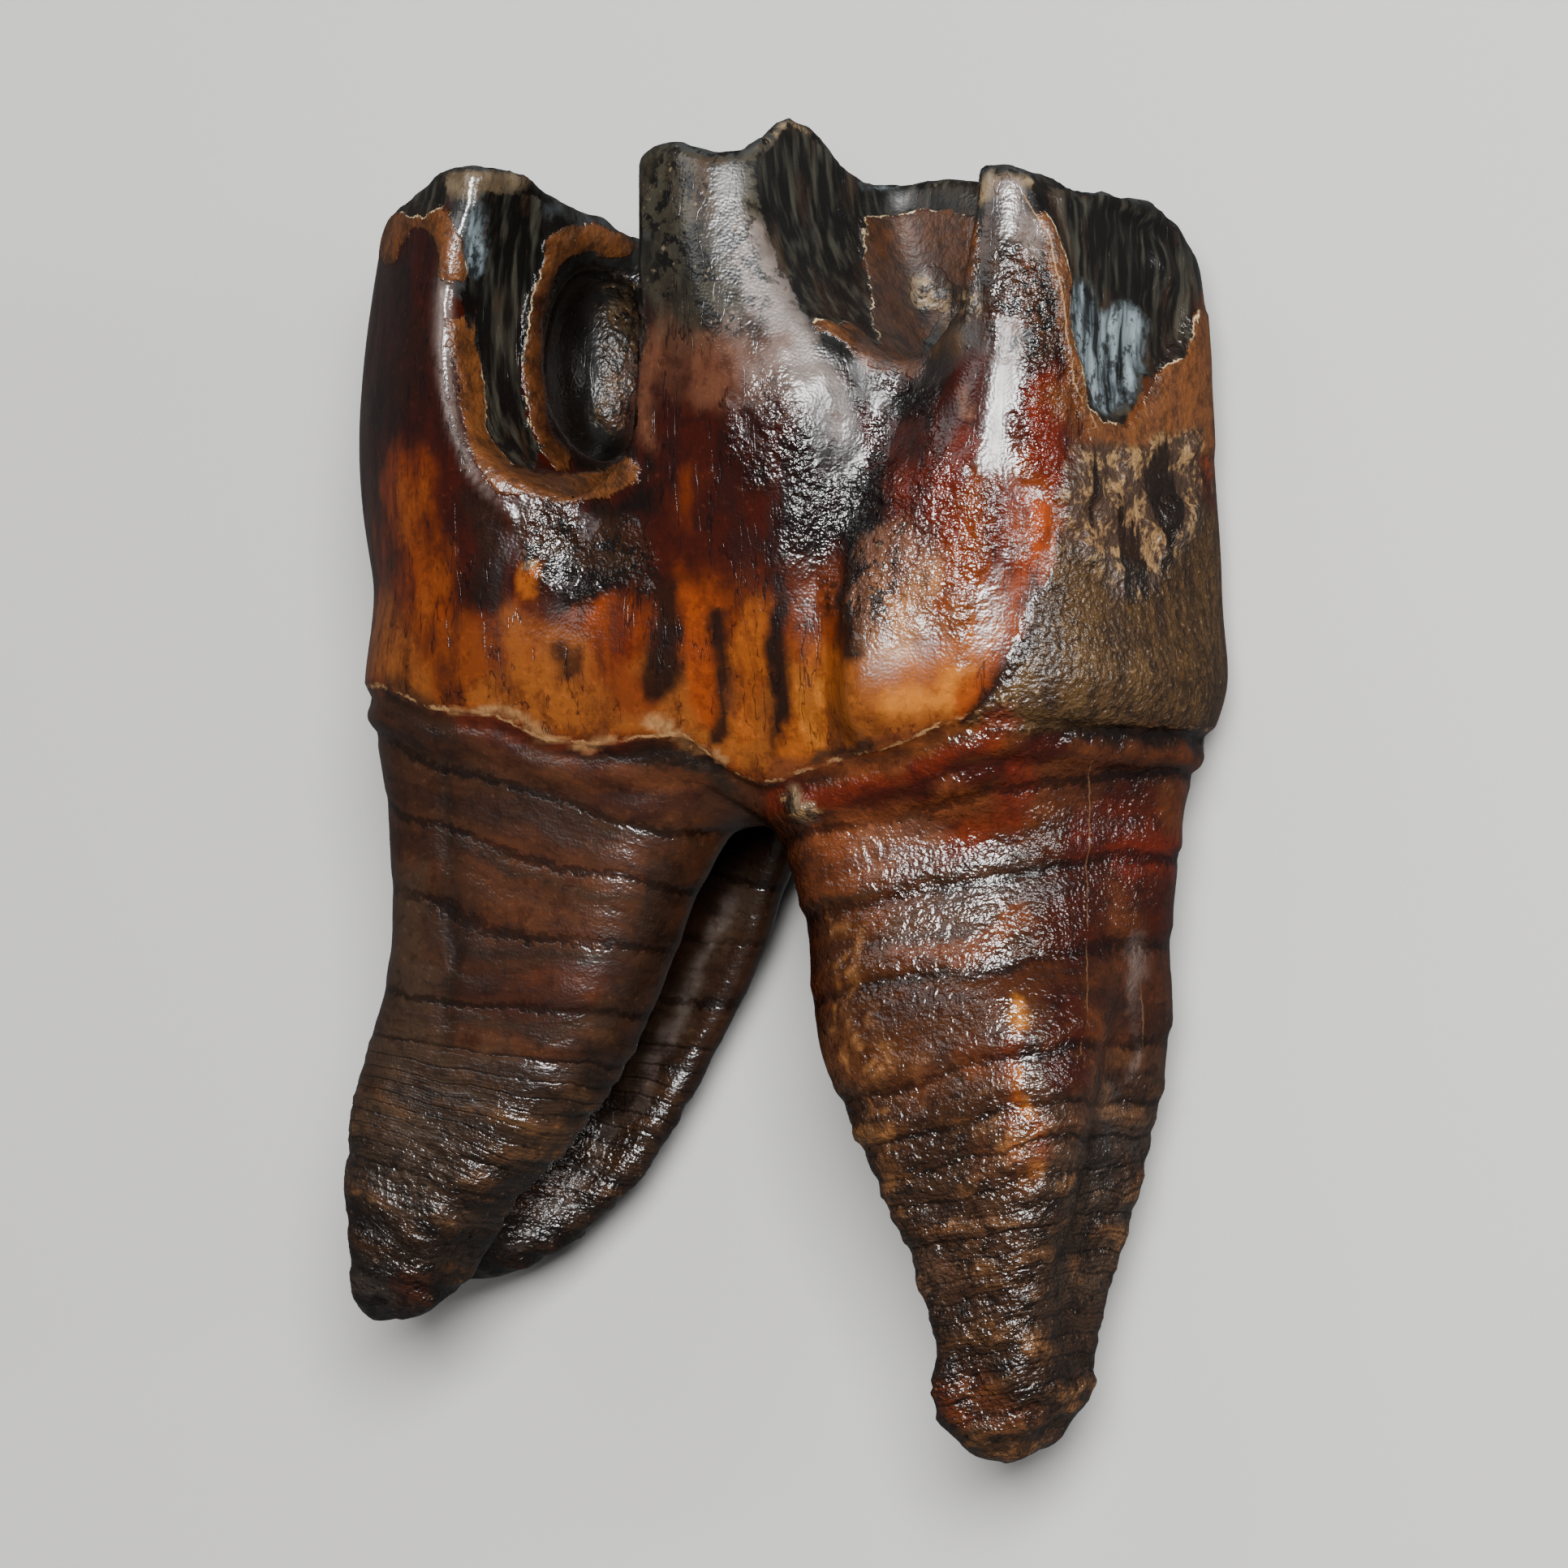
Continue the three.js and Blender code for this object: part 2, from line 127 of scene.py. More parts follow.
bulge_along = curve((8.0, 0), (9.5, 0.62), (10.6, 1), (12.2, 0.86), (14, 0.56), (16.5, 0.26), (20, 0))
bulge_up = curve((0.3, 0), (1.5, 0.6), (3.3, 1), (5.3, 0.9), (8.3, 0.58), (11.3, 0.28), (15, 0.06),
                 (18, 0))
cheek_groove = curve((-4, 3.0), (4, 3.2), (16, 4.5), (36, 5.5))


def tongue_side(x, y):
    """Depth of the tongue side: its face, plus three cusps and a bulge, less four hollows."""
    depth = tongue_face(y) + middle_cusp_swell(y) * bell(x - middle_cusp_x(y), middle_cusp_width(y))
    depth = depth + front_cusp_swell(y) * bell(x - 20.5, 3.0) + back_cusp_swell(y) * bell(x + 15.5, 4.0)
    depth = depth - front_hollow_depth(y) * bell(x - front_hollow_x(y), front_hollow_width(y))
    depth = depth + 3.2 * bulge_along(x) * bulge_up(y)
    depth = depth - 1.2 * bell(x + 7.5, 4.0) * bell(y - 14, 5.0)
    return depth - 0.9 * bell(x - 3.0, 2.2) * bell(y - 1, 5.0)


def cheek_side(x, y):
    """Depth of the cheek side: its face less a groove between the crests, drawn in at its ends."""
    return cheek_face(y) - cheek_groove(y) * bell(x - 0.5, 5.0) - 0.0035 * (np.abs(x) - 12.5) ** 2


def crown_block(x, y, z):
    """The crown as the intersection of its faces, each pair blended over 4 to 7 mm."""
    contact_scoop = 0.9 * bell(y - 24, 6) * bell(z - 2, 4.5)
    field = meet(z - tongue_side(x, y), -cheek_side(x, y) - z, 6)
    field = meet(field, x - front_face(y) + 0.010 * (z + 6.5) ** 2 + contact_scoop, 6)
    field = meet(field, -x - back_face(y) + 0.006 * (z + 1) ** 2, 6)
    field = meet(field, -0.70 * x + 0.714 * z - bevel_face(y), 4)
    return meet(field, 0.8 - y, 7)


back_valley_back = curve((14, -9.0), (16.5, -11.8), (20, -14.6), (24, -16.0), (30, -16.0), (36, -14.6))
back_valley_lean = curve((14, 1.0), (24, 4.5), (36, 4.0))
back_valley_front = curve((14, -7.0), (17, -5.2), (20, -4.2), (30, -4.0), (38, -4.4))
front_valley_back = curve((21, 12.0), (24, 9.8), (28, 6.3), (33, 4.0), (38, 3.3))
front_valley_lean = curve((24, 0), (28, 1.5), (38, 1.5))
front_valley_front = curve((21, 13.0), (24, 14.2), (27, 15.8), (32, 16.6), (38, 16.8))


def back_valley(x, y, z):
    """The valley behind the middle cusp: two walls that close inward, a floor and an inner end."""
    deep = ramp(z, 12, -4)
    back = back_valley_back(y) + back_valley_lean(y) * deep
    front = back_valley_front(y) - 3.4 * deep
    field = np.abs(x - (back + front) / 2) - (front - back) / 2
    field = meet(field, 16.6 + 0.5 * deep - 1.0 * bell(z - 4, 5) - y, 5)
    return meet(field, -4.0 - z + 0.10 * (36 - y), 3)


def front_valley(x, y, z):
    """The valley in front of it, higher and narrower."""
    deep = ramp(z, 12, -3)
    back = front_valley_back(y) + front_valley_lean(y) * deep
    front = front_valley_front(y) - 1.5 * deep
    field = np.abs(x - (back + front) / 2) - (front - back) / 2
    field = meet(field, 24.0 - 1.2 * bell(z - 3, 5) - y, 4)
    return meet(field, -2.6 - z + 0.06 * (36 - y) + 0.3 * (x - 9), 3)


worn_slope = curve((-14, 27.5), (-9, 31.6), (-3, 34.4), (4, 35.0), (12, 35.4))
front_edge_drop = curve((17.5, 0), (19.5, 0.4), (21, 1.2), (23.2, 1.4), (24, 3.4), (25.5, 7.0))
back_edge_drop = curve((-27, 2.6), (-24, 1.2), (-20, 0.3), (-17, 0))


def worn_top(x, z):
    """Height of the worn chewing face, which slopes to the cheek and peaks on the middle cusp."""
    top = worn_slope(z) + 2.4 * bell(x + 14.6, 3.7) * ramp(z, 4, 9)
    top = top + 1.4 * bell(x - 8, 6) * bell(z + 4, 4)
    top = top - 2.2 * ramp(x, -3, -14) * ramp(z, 6, -6) + 3.6 * bell(x - 3.9, 2.6) * bell(z - 6, 4.5)
    top = top + 1.6 * bell(x + 2.2, 3.8) * ramp(z, 2, 10)
    top = np.where(x < -8, np.minimum(top, 36.2), top) + 0.22 * noise(x, 0 * x, z, 2.0, 15, 2)
    return top - front_edge_drop(x) - back_edge_drop(x)


def crown(x, y, z):
    """The crown less its valleys, a hollow in the back valley's wall, and the wear on top."""
    hollow = (((x + 13.2) / 3.0) ** 2 + ((y - 25.0) / 5.8) ** 2 + ((z + 0.8) / 4.2) ** 2) ** 0.5 - 1
    field = meet(crown_block(x, y, z), -back_valley(x, y, z), 1.2)
    field = meet(field, -3.0 * hollow, 1.5)
    field = meet(field, -front_valley(x, y, z), 1.2)
    return meet(field, (y - worn_top(x, z)) * 0.85, 0.7)


# ---- the roots ------------------------------------------------------------------------------------
# Two roots of dentine under root cement, grown down in steps from the crown. The back root is a
# plate with two limbs and a deep groove between them, the front root a cone hollowed toward the
# fork. Each is a stack of rounded rectangles whose limits follow curves of height.

back_root_back = curve((-34, -26.6), (-28.5, -26.5), (-24, -26.7), (-20, -26.4), (-16, -25.2),
                       (-12, -23.9), (-8, -23.4), (0, -24.0), (6, -24.6))
tongue_limb = curve((-34, -21.5), (-28.5, -19.0), (-25.6, -16.6), (-22.8, -13.4), (-19.9, -10.4),
                    (-16, -7.4), (-11, -4.9), (-7, -3.4), (-3, -1.2), (2, 3.0))
cheek_limb = curve((-34, -24.0), (-30.4, -21.0), (-28.5, -17.8), (-25.6, -14.2), (-22.3, -11.2),
                   (-15.6, -7.2), (-10.3, -4.4), (-5.7, -2.8), (0, 0))
back_root_cheek = curve((-34, 6.5), (-28, 9.4), (-20, 10.6), (-10, 11.2), (0, 11.8))
back_root_tongue = curve((-34, 6.0), (-28, 7.6), (-20, 9.0), (-10, 9.7), (0, 9.9))
back_root_tip = curve((-12, -26.0), (-7, -31.0), (-2, -29.0), (4, -32.6), (8, -31.0), (11, -26.0))
groove_web = curve((-34, -22.0), (-28, -21.5), (-20, -19.0), (-10, -16.5), (-2, -12.0), (2, -6.0))
groove_half = curve((-34, 2.4), (-24, 4.2), (-12, 5.2), (0, 4.2))
front_root_back = curve((-40, 11.8), (-37, 10.9), (-35.2, 11.5), (-33, 11.3), (-28, 10.2),
                        (-22.3, 7.9), (-15.6, 5.0), (-9.3, 3.4), (-6, 2.4), (-1, 0.2), (3, -3.0))
front_root_front = curve((-40, 17.0), (-38, 17.4), (-35.7, 18.2), (-32.8, 18.6), (-27.6, 19.4),
                         (-23.7, 20.5), (-17, 21.8), (-8, 22.9), (-1, 23.6), (6, 24.6))
front_root_cheek = curve((-40, 3.5), (-36, 4.6), (-28, 7.4), (-20, 9.4), (-10, 10.6), (0, 11.6))
front_root_tongue = curve((-40, 3.6), (-36, 4.6), (-28, 6.4), (-20, 8.4), (-10, 9.6), (0, 9.9))
hollow_half = curve((-40, 1.0), (-24, 3.2), (-8, 5.0), (0, 4.0))
hollow_end = curve((-40, 8.0), (-26, 10.4), (-16, 7.6), (-8, 6.0), (0, 3.0))
tongue_tilt = curve((-36, 0), (-22, -0.06), (-13, 0.0), (-9, 0.14), (-3, 0.22), (0, 0))
front_root_corner = curve((-22, 24.5), (-19, 23.4), (-16, 22.3), (-13, 21.2), (-9, 19.7), (-3, 19.0),
                          (1, 19.3), (6, 22.5))
furrow_depth = curve((-34, 0), (-26, 1.2), (-16, 1.2), (-4, 0.2))


def oval(x, z, back, front, cheek, tongue, power):
    """A rounded rectangle between limits on two axes. A higher power squares its corners."""
    half_x, half_z = (front - back) / 2, (tongue - cheek) / 2
    along_x = np.abs((x - back - half_x) / half_x) ** power
    along_z = np.abs((z - cheek - half_z) / half_z) ** power
    return ((along_x + along_z) ** (1 / power) - 1) * np.minimum(half_x, half_z)


def back_root(x, y, z):
    """The plate less its groove, its two limbs ending at heights that follow back_root_tip."""
    front = cheek_limb(y) + (tongue_limb(y) - cheek_limb(y)) * ramp(z, -6, 5)
    field = oval(x, z, back_root_back(y), front, -back_root_cheek(y), back_root_tongue(y), 3.8)
    field = meet(field, back_root_tip(z) - y + 0.12 * (x + 25), 2.5)
    half = groove_half(y) * (1 - 0.25 * ramp(x, -14, -22))
    groove = meet(meet(np.abs(z + 1.5) - half, groove_web(y) - x, 5), y - 1, 4)
    return meet(meet(field, y - 9, 6), -groove, 2)


def front_root(x, y, z):
    """The cone less its hollow, its front corner cut off, with a furrow down its front face."""
    tilted = z + tongue_tilt(y) * np.maximum(x - 5, 0) * ramp(z, 0, 6)
    field = oval(x, tilted, front_root_back(y), front_root_front(y), -front_root_cheek(y),
                 front_root_tongue(y), 2.8 + 1.6 * ramp(y, -8, -16))
    field = meet(field, 0.866 * x + 0.5 * z - front_root_corner(y), 1.4)
    field = meet(field, -39.4 - y + 0.03 * (x - 14) ** 2, 3.5)
    hollow = meet(meet(np.abs(z + 0.5) - hollow_half(y), x - hollow_end(y), 5), y - 0.5, 4)
    field = meet(meet(field, y - 9, 6), -hollow, 2)
    return field + furrow_depth(y) * bell(z, 3.2) * ramp(x, 14, 20)


def join(a, b, width):
    """Union of two fields with a fillet of a width: the meeting of their outsides, turned round."""
    return -meet(-a, -b, width)


def whole_tooth(x, y, z):
    """The crown and both roots in one field, negative inside the tooth."""
    return join(join(crown(x, y, z), back_root(x, y, z), 4), front_root(x, y, z), 4)


# ---- one skin over crown, roots and cement --------------------------------------------------------
# In the fossil enamel, dentine and cement are fused, so one closed surface stands for all the
# solids and no seam shows. It has a point in each cell of a grid where the field changes sign,
# drawn onto the zero of the field by Newton steps.

CELL = 0.42
GRID_LOW = np.array([-30.0, -42.5, -16.0])
GRID_HIGH = np.array([28.0, 41.0, 16.0])


def surface_net(field, origin, cell):
    """One point in each cell that the surface crosses, at the mean of its edge crossings, and a
    quad round each crossed edge, wound outward."""
    inside = field < 0
    shape = tuple(np.array(field.shape) - 1)
    total, count = np.zeros(shape + (3,), np.float32), np.zeros(shape, np.float32)
    near, far = slice(0, -1), slice(1, None)
    for axis in range(3):
        others = [other for other in range(3) if other != axis]
        for corner in ((0, 0), (0, 1), (1, 0), (1, 1)):
            start, end = [None] * 3, [None] * 3
            start[axis], end[axis] = near, far
            for other, side in zip(others, corner):
                start[other] = end[other] = far if side else near
            a, b = field[tuple(start)], field[tuple(end)]
            crossed = (a < 0) != (b < 0)
            total[..., axis] += np.where(crossed, a / np.where(crossed, a - b, 1), 0)
            for other, side in zip(others, corner):
                total[..., other] += side * crossed
            count += crossed
    has_point = count > 0
    index = np.full(shape, -1, np.int64)
    index[has_point] = np.arange(has_point.sum())
    points = (np.argwhere(has_point) + total[has_point] / count[has_point][:, None]) * cell + origin
    quads = []
    for axis in range(3):
        u, v = (axis + 1) % 3, (axis + 2) % 3
        start, end = [slice(1, -1)] * 3, [slice(1, -1)] * 3
        start[axis], end[axis] = near, far
        first = inside[tuple(start)]
        where = np.argwhere(first != inside[tuple(end)])
        outward = first[tuple(where.T)]
        ring = []
        for back_u, back_v in ((1, 1), (0, 1), (0, 0), (1, 0)):
            at = where + 0
            at[:, u] += 1 - back_u
            at[:, v] += 1 - back_v
            ring.append(index[tuple(at.T)])
        quad = np.stack(ring, 1)
        quad[~outward] = quad[~outward][:, ::-1]
        quads.append(quad)
    return points, np.concatenate(quads)


def gradient(points):
    """The field at points and its slope along each axis, from a short step along it."""
    step = 0.05
    here = whole_tooth(*points.T)
    moved = [(whole_tooth(*(points + step * along).T) - here) / step for along in np.eye(3)]
    return here, np.stack(moved, 1)


counts = np.ceil((GRID_HIGH - GRID_LOW) / CELL).astype(int) + 1
grid_x, grid_y, grid_z = (GRID_LOW[axis] + CELL * np.arange(counts[axis]) for axis in range(3))
samples = whole_tooth(grid_x[:, None, None], grid_y[None, :, None], grid_z[None, None, :])
points, quads = surface_net(samples.astype(np.float32), GRID_LOW, CELL)
for _ in range(2):
    here, slope = gradient(points)
    step = -(here / np.maximum((slope ** 2).sum(1), 0.05))[:, None] * slope
    length = np.linalg.norm(step, axis=1, keepdims=True)
    points = points + step * np.minimum(1, 0.6 * CELL / np.maximum(length, 1e-9))
normals = gradient(points)[1]
normals /= np.linalg.norm(normals, axis=1, keepdims=True)

# ---- cement, worn walls and crusts ----------------------------------------------------------------
# Cement fills the valleys and wraps the front of the tooth. Wear has bared black enamel and
# grey-blue dentine on the valleys' walls and where the next tooth stood, and dry sediment clings
# below that contact.

# `across` and `up` place a point as seen from the tongue side and a little from the front. Marks
# placed by them belong to that side, so they stop where the surface turns away.
VIEW_TURN = np.radians(25)
VIEW_DISTANCE = 400.0
toward = np.array([np.sin(VIEW_TURN), 0, np.cos(VIEW_TURN)])
x, y, z = points.T
grow = VIEW_DISTANCE / (VIEW_DISTANCE - points @ toward)
across = (x * np.cos(VIEW_TURN) - z * np.sin(VIEW_TURN)) * grow
up = y * grow
facing = normals @ toward
limb = ramp(z, 0, -3) * ramp(y, 1, -2) * ramp(x, 3, 1)
shown = ramp(facing, 0, 0.25) * (1 - limb)
shown_limb = ramp(facing, 0, 0.25) * limb


def to_line(knots, a, b):
    """Distance from points (a, b) to a polyline: the least over its segments."""
    knots = np.array(knots, float)
    least = np.full(a.shape, 1e9)
    if len(knots) == 1:
        return np.hypot(a - knots[0, 0], b - knots[0, 1])
    for (a0, b0), (a1, b1) in zip(knots[:-1], knots[1:]):
        run = ((a - a0) * (a1 - a0) + (b - b0) * (b1 - b0)) / ((a1 - a0) ** 2 + (b1 - b0) ** 2)
        run = np.clip(run, 0, 1)
        least = np.minimum(least, np.hypot(a - a0 - run * (a1 - a0), b - b0 - run * (b1 - b0)))
    return least


wander = 0.35 * noise(x, y, z, 2.6, 61)
drift = 0.35 * noise(x, y, z, 2.6, 71)
fray = noise(x, y * 0.6, z, 1.5, 75, 3)


def along(half_width, *knots):
    """How far inside a band along a polyline each point is, in millimetres."""
    return half_width - to_line(knots, across + wander, up + drift)


def beside(*knots):
    """Signed distance across a polyline, positive on its left, as far as its ends."""
    across_line = np.full(len(x), 9.0)
    for (a0, b0), (a1, b1) in zip(knots[:-1], knots[1:]):
        length = np.hypot(a1 - a0, b1 - b0)
        run = ((across - a0) * (a1 - a0) + (up - b0) * (b1 - b0)) / length ** 2
        off = ((a1 - a0) * (up - b0) - (b1 - b0) * (across - a0)) / length + 0.5 * wander
        use = (run > -0.02) & (run < 1.02) & (np.abs(off) < np.abs(across_line))
        across_line = np.where(use, off, across_line)
    return across_line


def within(*corners):
    """How far inside a polygon each point is: an even-odd test gives the sign."""
    a, b = across + 0.6 * wander, up + 0.6 * drift
    inside = np.zeros(len(a), bool)
    for (a0, b0), (a1, b1) in zip(corners, corners[1:] + corners[:1]):
        if b0 != b1:
            inside ^= ((b0 > b) != (b1 > b)) & (a < (a1 - a0) * (b - b0) / (b1 - b0) + a0)
    return np.where(inside, 1, -1) * to_line(corners + corners[:1], a, b)


def most(*fields):
    """The union of outlines: the greatest of their depths."""
    return np.max(fields, 0)


cement_in = most(
    along(0.72, (-23.3, 31.7), (-22.5, 33.3), (-20.9, 33.9), (-19.9, 32.8), (-19.5, 30.3)),
    along(0.82, (-19.1, 26.9), (-18.8, 23.8), (-18.0, 20.2), (-16.4, 18.0), (-13.2, 17.3), (-10.6, 17.7),
          (-9.5, 18.3)),
    along(0.62, (-13.2, 32.0), (-14.2, 30.0), (-14.7, 27.2), (-14.9, 24.5), (-14.6, 21.4), (-13.2, 19.0)),
    along(0.82, (-13.5, 31.9), (-11.8, 32.4), (-10.8, 32.0), (-10.0, 31.7)),
    within((4.3, 33.7), (11.5, 33.7), (11.5, 30.0), (10.8, 25.7), (6.4, 24.7), (5.5, 26.0), (4.8, 30.0)),
    along(0.43, (1.9, 27.2), (3.6, 26.6), (5.6, 25.2), (7.9, 24.5)),
    along(0.5, (15.2, 33.5), (15.9, 31.0), (16.5, 28.6), (17.0, 25.5), (17.9, 22.8)),
    along(0.91, (18.2, 21.6), (19.8, 20.3), (21.8, 21.4), (23.0, 23.8), (24.2, 26.2), (24.8, 27.2)),
    within((22.3, 23.8), (25.4, 27.2), (25.6, 19.5), (22.8, 18.8), (18.4, 19.5), (17.5, 21.4),
           (19.4, 20.2)),
)
black_in = most(
    within((-17.6, 35.0), (-14.6, 34.8), (-14.3, 32.0), (-15.1, 27.2), (-15.6, 24.5), (-15.2, 21.4),
           (-14.3, 19.7), (-14.9, 18.6), (-16.2, 18.8), (-17.6, 20.9), (-18.1, 23.8), (-18.5, 27.2),
           (-18.1, 32.0)),
    within((-23.1, 33.8), (-20.2, 36.8), (-19.7, 34.4), (-20.9, 33.7), (-22.4, 33.4)),
    within((-1.8, 36.5), (0.4, 39.2), (3.3, 37.0), (4.6, 33.8), (4.7, 30.5), (5.2, 27.2), (5.6, 25.8),
           (3.7, 27.1), (1.2, 27.5), (-0.2, 30.5), (-1.2, 33.6)),
    within((3.4, 37.0), (8.0, 36.7), (8.7, 35.4), (11.6, 35.7), (11.6, 33.8), (4.0, 33.6)),
    within((14.7, 36.2), (17.5, 35.9), (20.4, 34.6), (23.0, 33.5), (24.7, 30.5), (24.6, 28.4),
           (24.2, 27.1), (23.6, 25.6), (22.6, 24.6), (21.4, 24.0), (20.9, 22.6), (20.0, 21.6),
           (18.7, 21.4), (17.7, 22.4), (16.9, 27.9), (16.9, 29.8), (16.2, 32.2), (14.9, 34.8)),
    along(0.43, (-18.5, 30.5), (-18.9, 27.2)),
)
dentine_in = most(
    within((16.9, 28.5), (17.7, 29.8), (18.5, 29.5), (19.2, 27.9), (20.6, 28.6), (21.9, 27.6),
           (21.8, 25.7), (20.6, 22.8), (19.3, 22.0), (18.3, 22.6), (17.5, 25.7)),
    along(0.38, (-18.0, 33.8), (-18.5, 30.5)),
    along(0.24, (4.9, 35.7), (7.4, 36.0)),
)
crust_in = most(
    within((17.4, 20.2), (20.8, 20.1), (24.4, 21.0), (25.2, 17.6), (24.6, 15.2), (22.8, 12.8),
           (21.3, 10.9), (19.4, 11.2), (18.2, 13.2), (16.6, 13.7), (16.0, 17.1)),
    along(0.43, (0.1, -0.9), (1.6, -1.7)),
)

olive_in = within(
    (10.8, 3.5), (13.0, 6.0), (14.3, 9.2), (15.6, 11.4), (16.0, 14.7), (18.2, 14.2), (21.8, 12.8),
    (24.2, 16.8), (26.2, 16.1), (26.4, 3.9), (24.7, 3.2), (20.8, 3.6), (15.6, 2.9), (13.2, 3.2)
)

# The chewing face: enamel on its rim, dentine inside, by depth under the crown's walls.
wall_depth = -np.maximum(crown_block(x, y, z), -np.minimum(back_valley(x, y, z), front_valley(x, y, z)))
chewing = ramp(normals[:, 1], 0.35, 0.7) * ramp(y, 22, 26)

# ---- the enamel's edge and the growth lines -------------------------------------------------------
# The enamel ends in a low step above the roots. Root cement was laid down in rings, wide near the
# crown and crowded toward the tips, where it is lumpy. Relief is a height along the normal.

enamel_edge = curve((-24, 5.8), (-21, 5.6), (-17.8, 4.6), (-13.6, 4.1), (-10.4, 2.7), (-6.3, 2.4),
                    (-1.5, 2.9), (0.7, 1.2), (2.8, 0.2), (6.4, 1.0), (11.7, 2.2), (17, 4.1), (20, 4.0),
                    (25, 3.2))
rise = y - enamel_edge(x) - 0.14 * noise(x, y, z, 3.0, 11)
below = ramp(rise, -0.2, -1.2)
on_back_root = ramp(x, 3.0, 0.5) * below
on_front_root = ramp(x, 0.5, 3.0) * below
tipward = ramp(y, -13, -27)

wobble = 0.45 * noise(x, y, z, 6.0, 21) + 0.2 * noise(x, y, z, 2.0, 22)
ring_slope = curve((-30, 0.42), (-20, 0.34), (-15, 0.12), (-10, 0.12), (-6, 0.24), (2, 0.28))
back_level = y - ring_slope(y) * np.clip(-4 - x, 0, 20) + wobble
front_level = y - 0.22 * (np.minimum(x, 21) - 15) + wobble
back_lines = [-2.6, -6.2, -10.0, -13.9, -17.2, -19.0, -20.6, -22.0, -23.3, -24.6, -25.8, -27.0, -28.3,
              -29.6]
front_lines = [-0.9, -5.6, -10.7, -16.4, -19.6, -21.6, -23.2, -24.6, -25.9, -27.1, -28.2, -29.4, -30.6,
               -31.8, -33.0, -34.2, -35.4, -36.6]


def phase(level, lines):
    """Counts growth lines down a root: a whole number on each line, and evenly between two."""
    return np.interp(-level, [-lines[0] - 4.0] + [-line for line in lines] + [-lines[-1] + 3.0],
                     np.arange(len(lines) + 2))


def rings(level, lines, width):
    """One at each growth line and falling away beside it: the sum of bells across the level."""
    return sum(bell(level - line, width) for line in lines)


back_rings = rings(back_level, back_lines, 0.52) * (1 - 0.6 * limb)
front_rings = rings(front_level, front_lines, 0.5)
ring_dark = on_back_root * back_rings + on_front_root * front_rings
ring_swell = on_back_root * rings(back_level - 0.9, back_lines, 0.7)
ring_swell = ring_swell + on_front_root * rings(front_level - 0.9, front_lines, 0.7)
patchy = 0.7 + 0.5 * noise(x, y, z, 5.0, 81)
relief = patchy * (0.07 * ring_swell - (0.10 + 0.07 * tipward) * ring_dark)

root_phase = np.where(x < 2, phase(back_level, back_lines), phase(front_level, front_lines))
spacing = np.where(x < 2, np.interp(back_level, back_lines[:0:-1], -np.diff(back_lines)[::-1]),
                   np.interp(front_level, front_lines[:0:-1], -np.diff(front_lines)[::-1]))
part = root_phase % 1
relief = relief + 0.045 * shown * on_front_root * spacing * part * ramp(part, 1.0, 0.78)
knob = bell(np.hypot(np.hypot(x - 24.0, y - 30.0), z + 2.5), 1.6)
relief = relief + 0.6 * knob

# the enamel ends in a low step, with a furrow, a fold and a second furrow under it
relief = relief + 0.22 * ramp(rise, -0.35, 0.15) * ramp(rise, 7, 1.5)
relief = relief - 0.20 * bell(rise + 0.8, 0.4) + 0.16 * bell(rise + 1.9, 0.6)
relief = relief - 0.16 * bell(rise + 3.0, 0.45)

# the root surface crumples along its growth lines, most of all near the tips
level = np.where(x < 2, back_level, front_level)
crumple = noise(x, level * 2.6, z, 2.6, 31, 3)
relief = relief + below * (0.04 + 0.20 * tipward) * crumple
tip_lumps = noise(x, y, z, 2.4, 35, 2)
relief = relief + 0.28 * ramp(y, -28, -36) * tip_lumps

# ---- wear, lacquer and sediment in relief ---------------------------------------------------------
# The conservator's lacquer has shrunk into sharp wrinkles in the hollows, the old enamel is pitted
# and creased, the contact with the next tooth is sunk, and crumbs of sediment lie in the valleys.


def spot(a, b, radius):
    """A round soft mark centred on a place seen from the tongue side."""
    return shown * bell(np.hypot(across - a, up - b), radius)


def band(half_width, soft, *knots, on=shown):
    """A soft-edged, frayed band along a polyline, on the side that faces the tongue."""
    near = half_width - to_line(knots, across + 1.6 * wander, up + 1.6 * drift)
    return on * ramp(near + 0.6 * soft * fray, -soft / 2, soft / 2)


lacquer = band(3.6, 3.4, (1.0, 20.5), (4.5, 16.0), (7.0, 11.5), (10.5, 15.5))
creases = 1 - np.abs(noise(x, y, z, 2.2, 41, 3))
relief = relief + 0.20 * lacquer * creases
pitted = band(1.9, 1.8, (-13.5, 14.6), (-11.5, 12.0), (-9.5, 13.5))
pitted = pitted + band(0.9, 1.2, (5.4, 24.0), (8.4, 22.4))
relief = relief + 0.20 * pitted * noise(x, y, z, 1.1, 45, 2)
relief = relief + 0.55 * spot(-14.8, 12.3, 0.9)
relief = relief - 0.15 * band(0.8, 2.2, (2.2, 33.5), (3.0, 29.5))
crest = [(-18.3, 34.4), (-19.4, 32.0), (-20.1, 29.6), (-20.2, 26.2), (-20.0, 23.8), (-19.6, 21.4),
         (-18.7, 18.8), (-17.3, 17.0), (-16.0, 15.6)]
crest = shown * bell(to_line(crest, across, up), 0.25 + 0.2 * ramp(up, 17, 27))
relief = relief + 0.22 * crest
relief = relief + 0.55 * spot(1.3, -1.2, 0.7) + 0.8 * spot(8.9, -35.3, 1.3)
relief = relief - 0.45 * spot(-11.0, 15.9, 0.8) - 0.35 * spot(-8.6, 16.0, 0.9)
relief = relief - 0.15 * band(0.35, 0.8, (-19.8, 1.8), (-19.8, -4.0), (-19.8, -14.0))
relief = relief - 0.28 * band(0.4, 0.7, (14.8, 2.3), (20.5, 3.5), (24.6, 2.4))
relief = relief - 0.05 * band(0.2, 0.5, (15.6, 1.0), (16.2, -16.0), (18.0, -24.0))
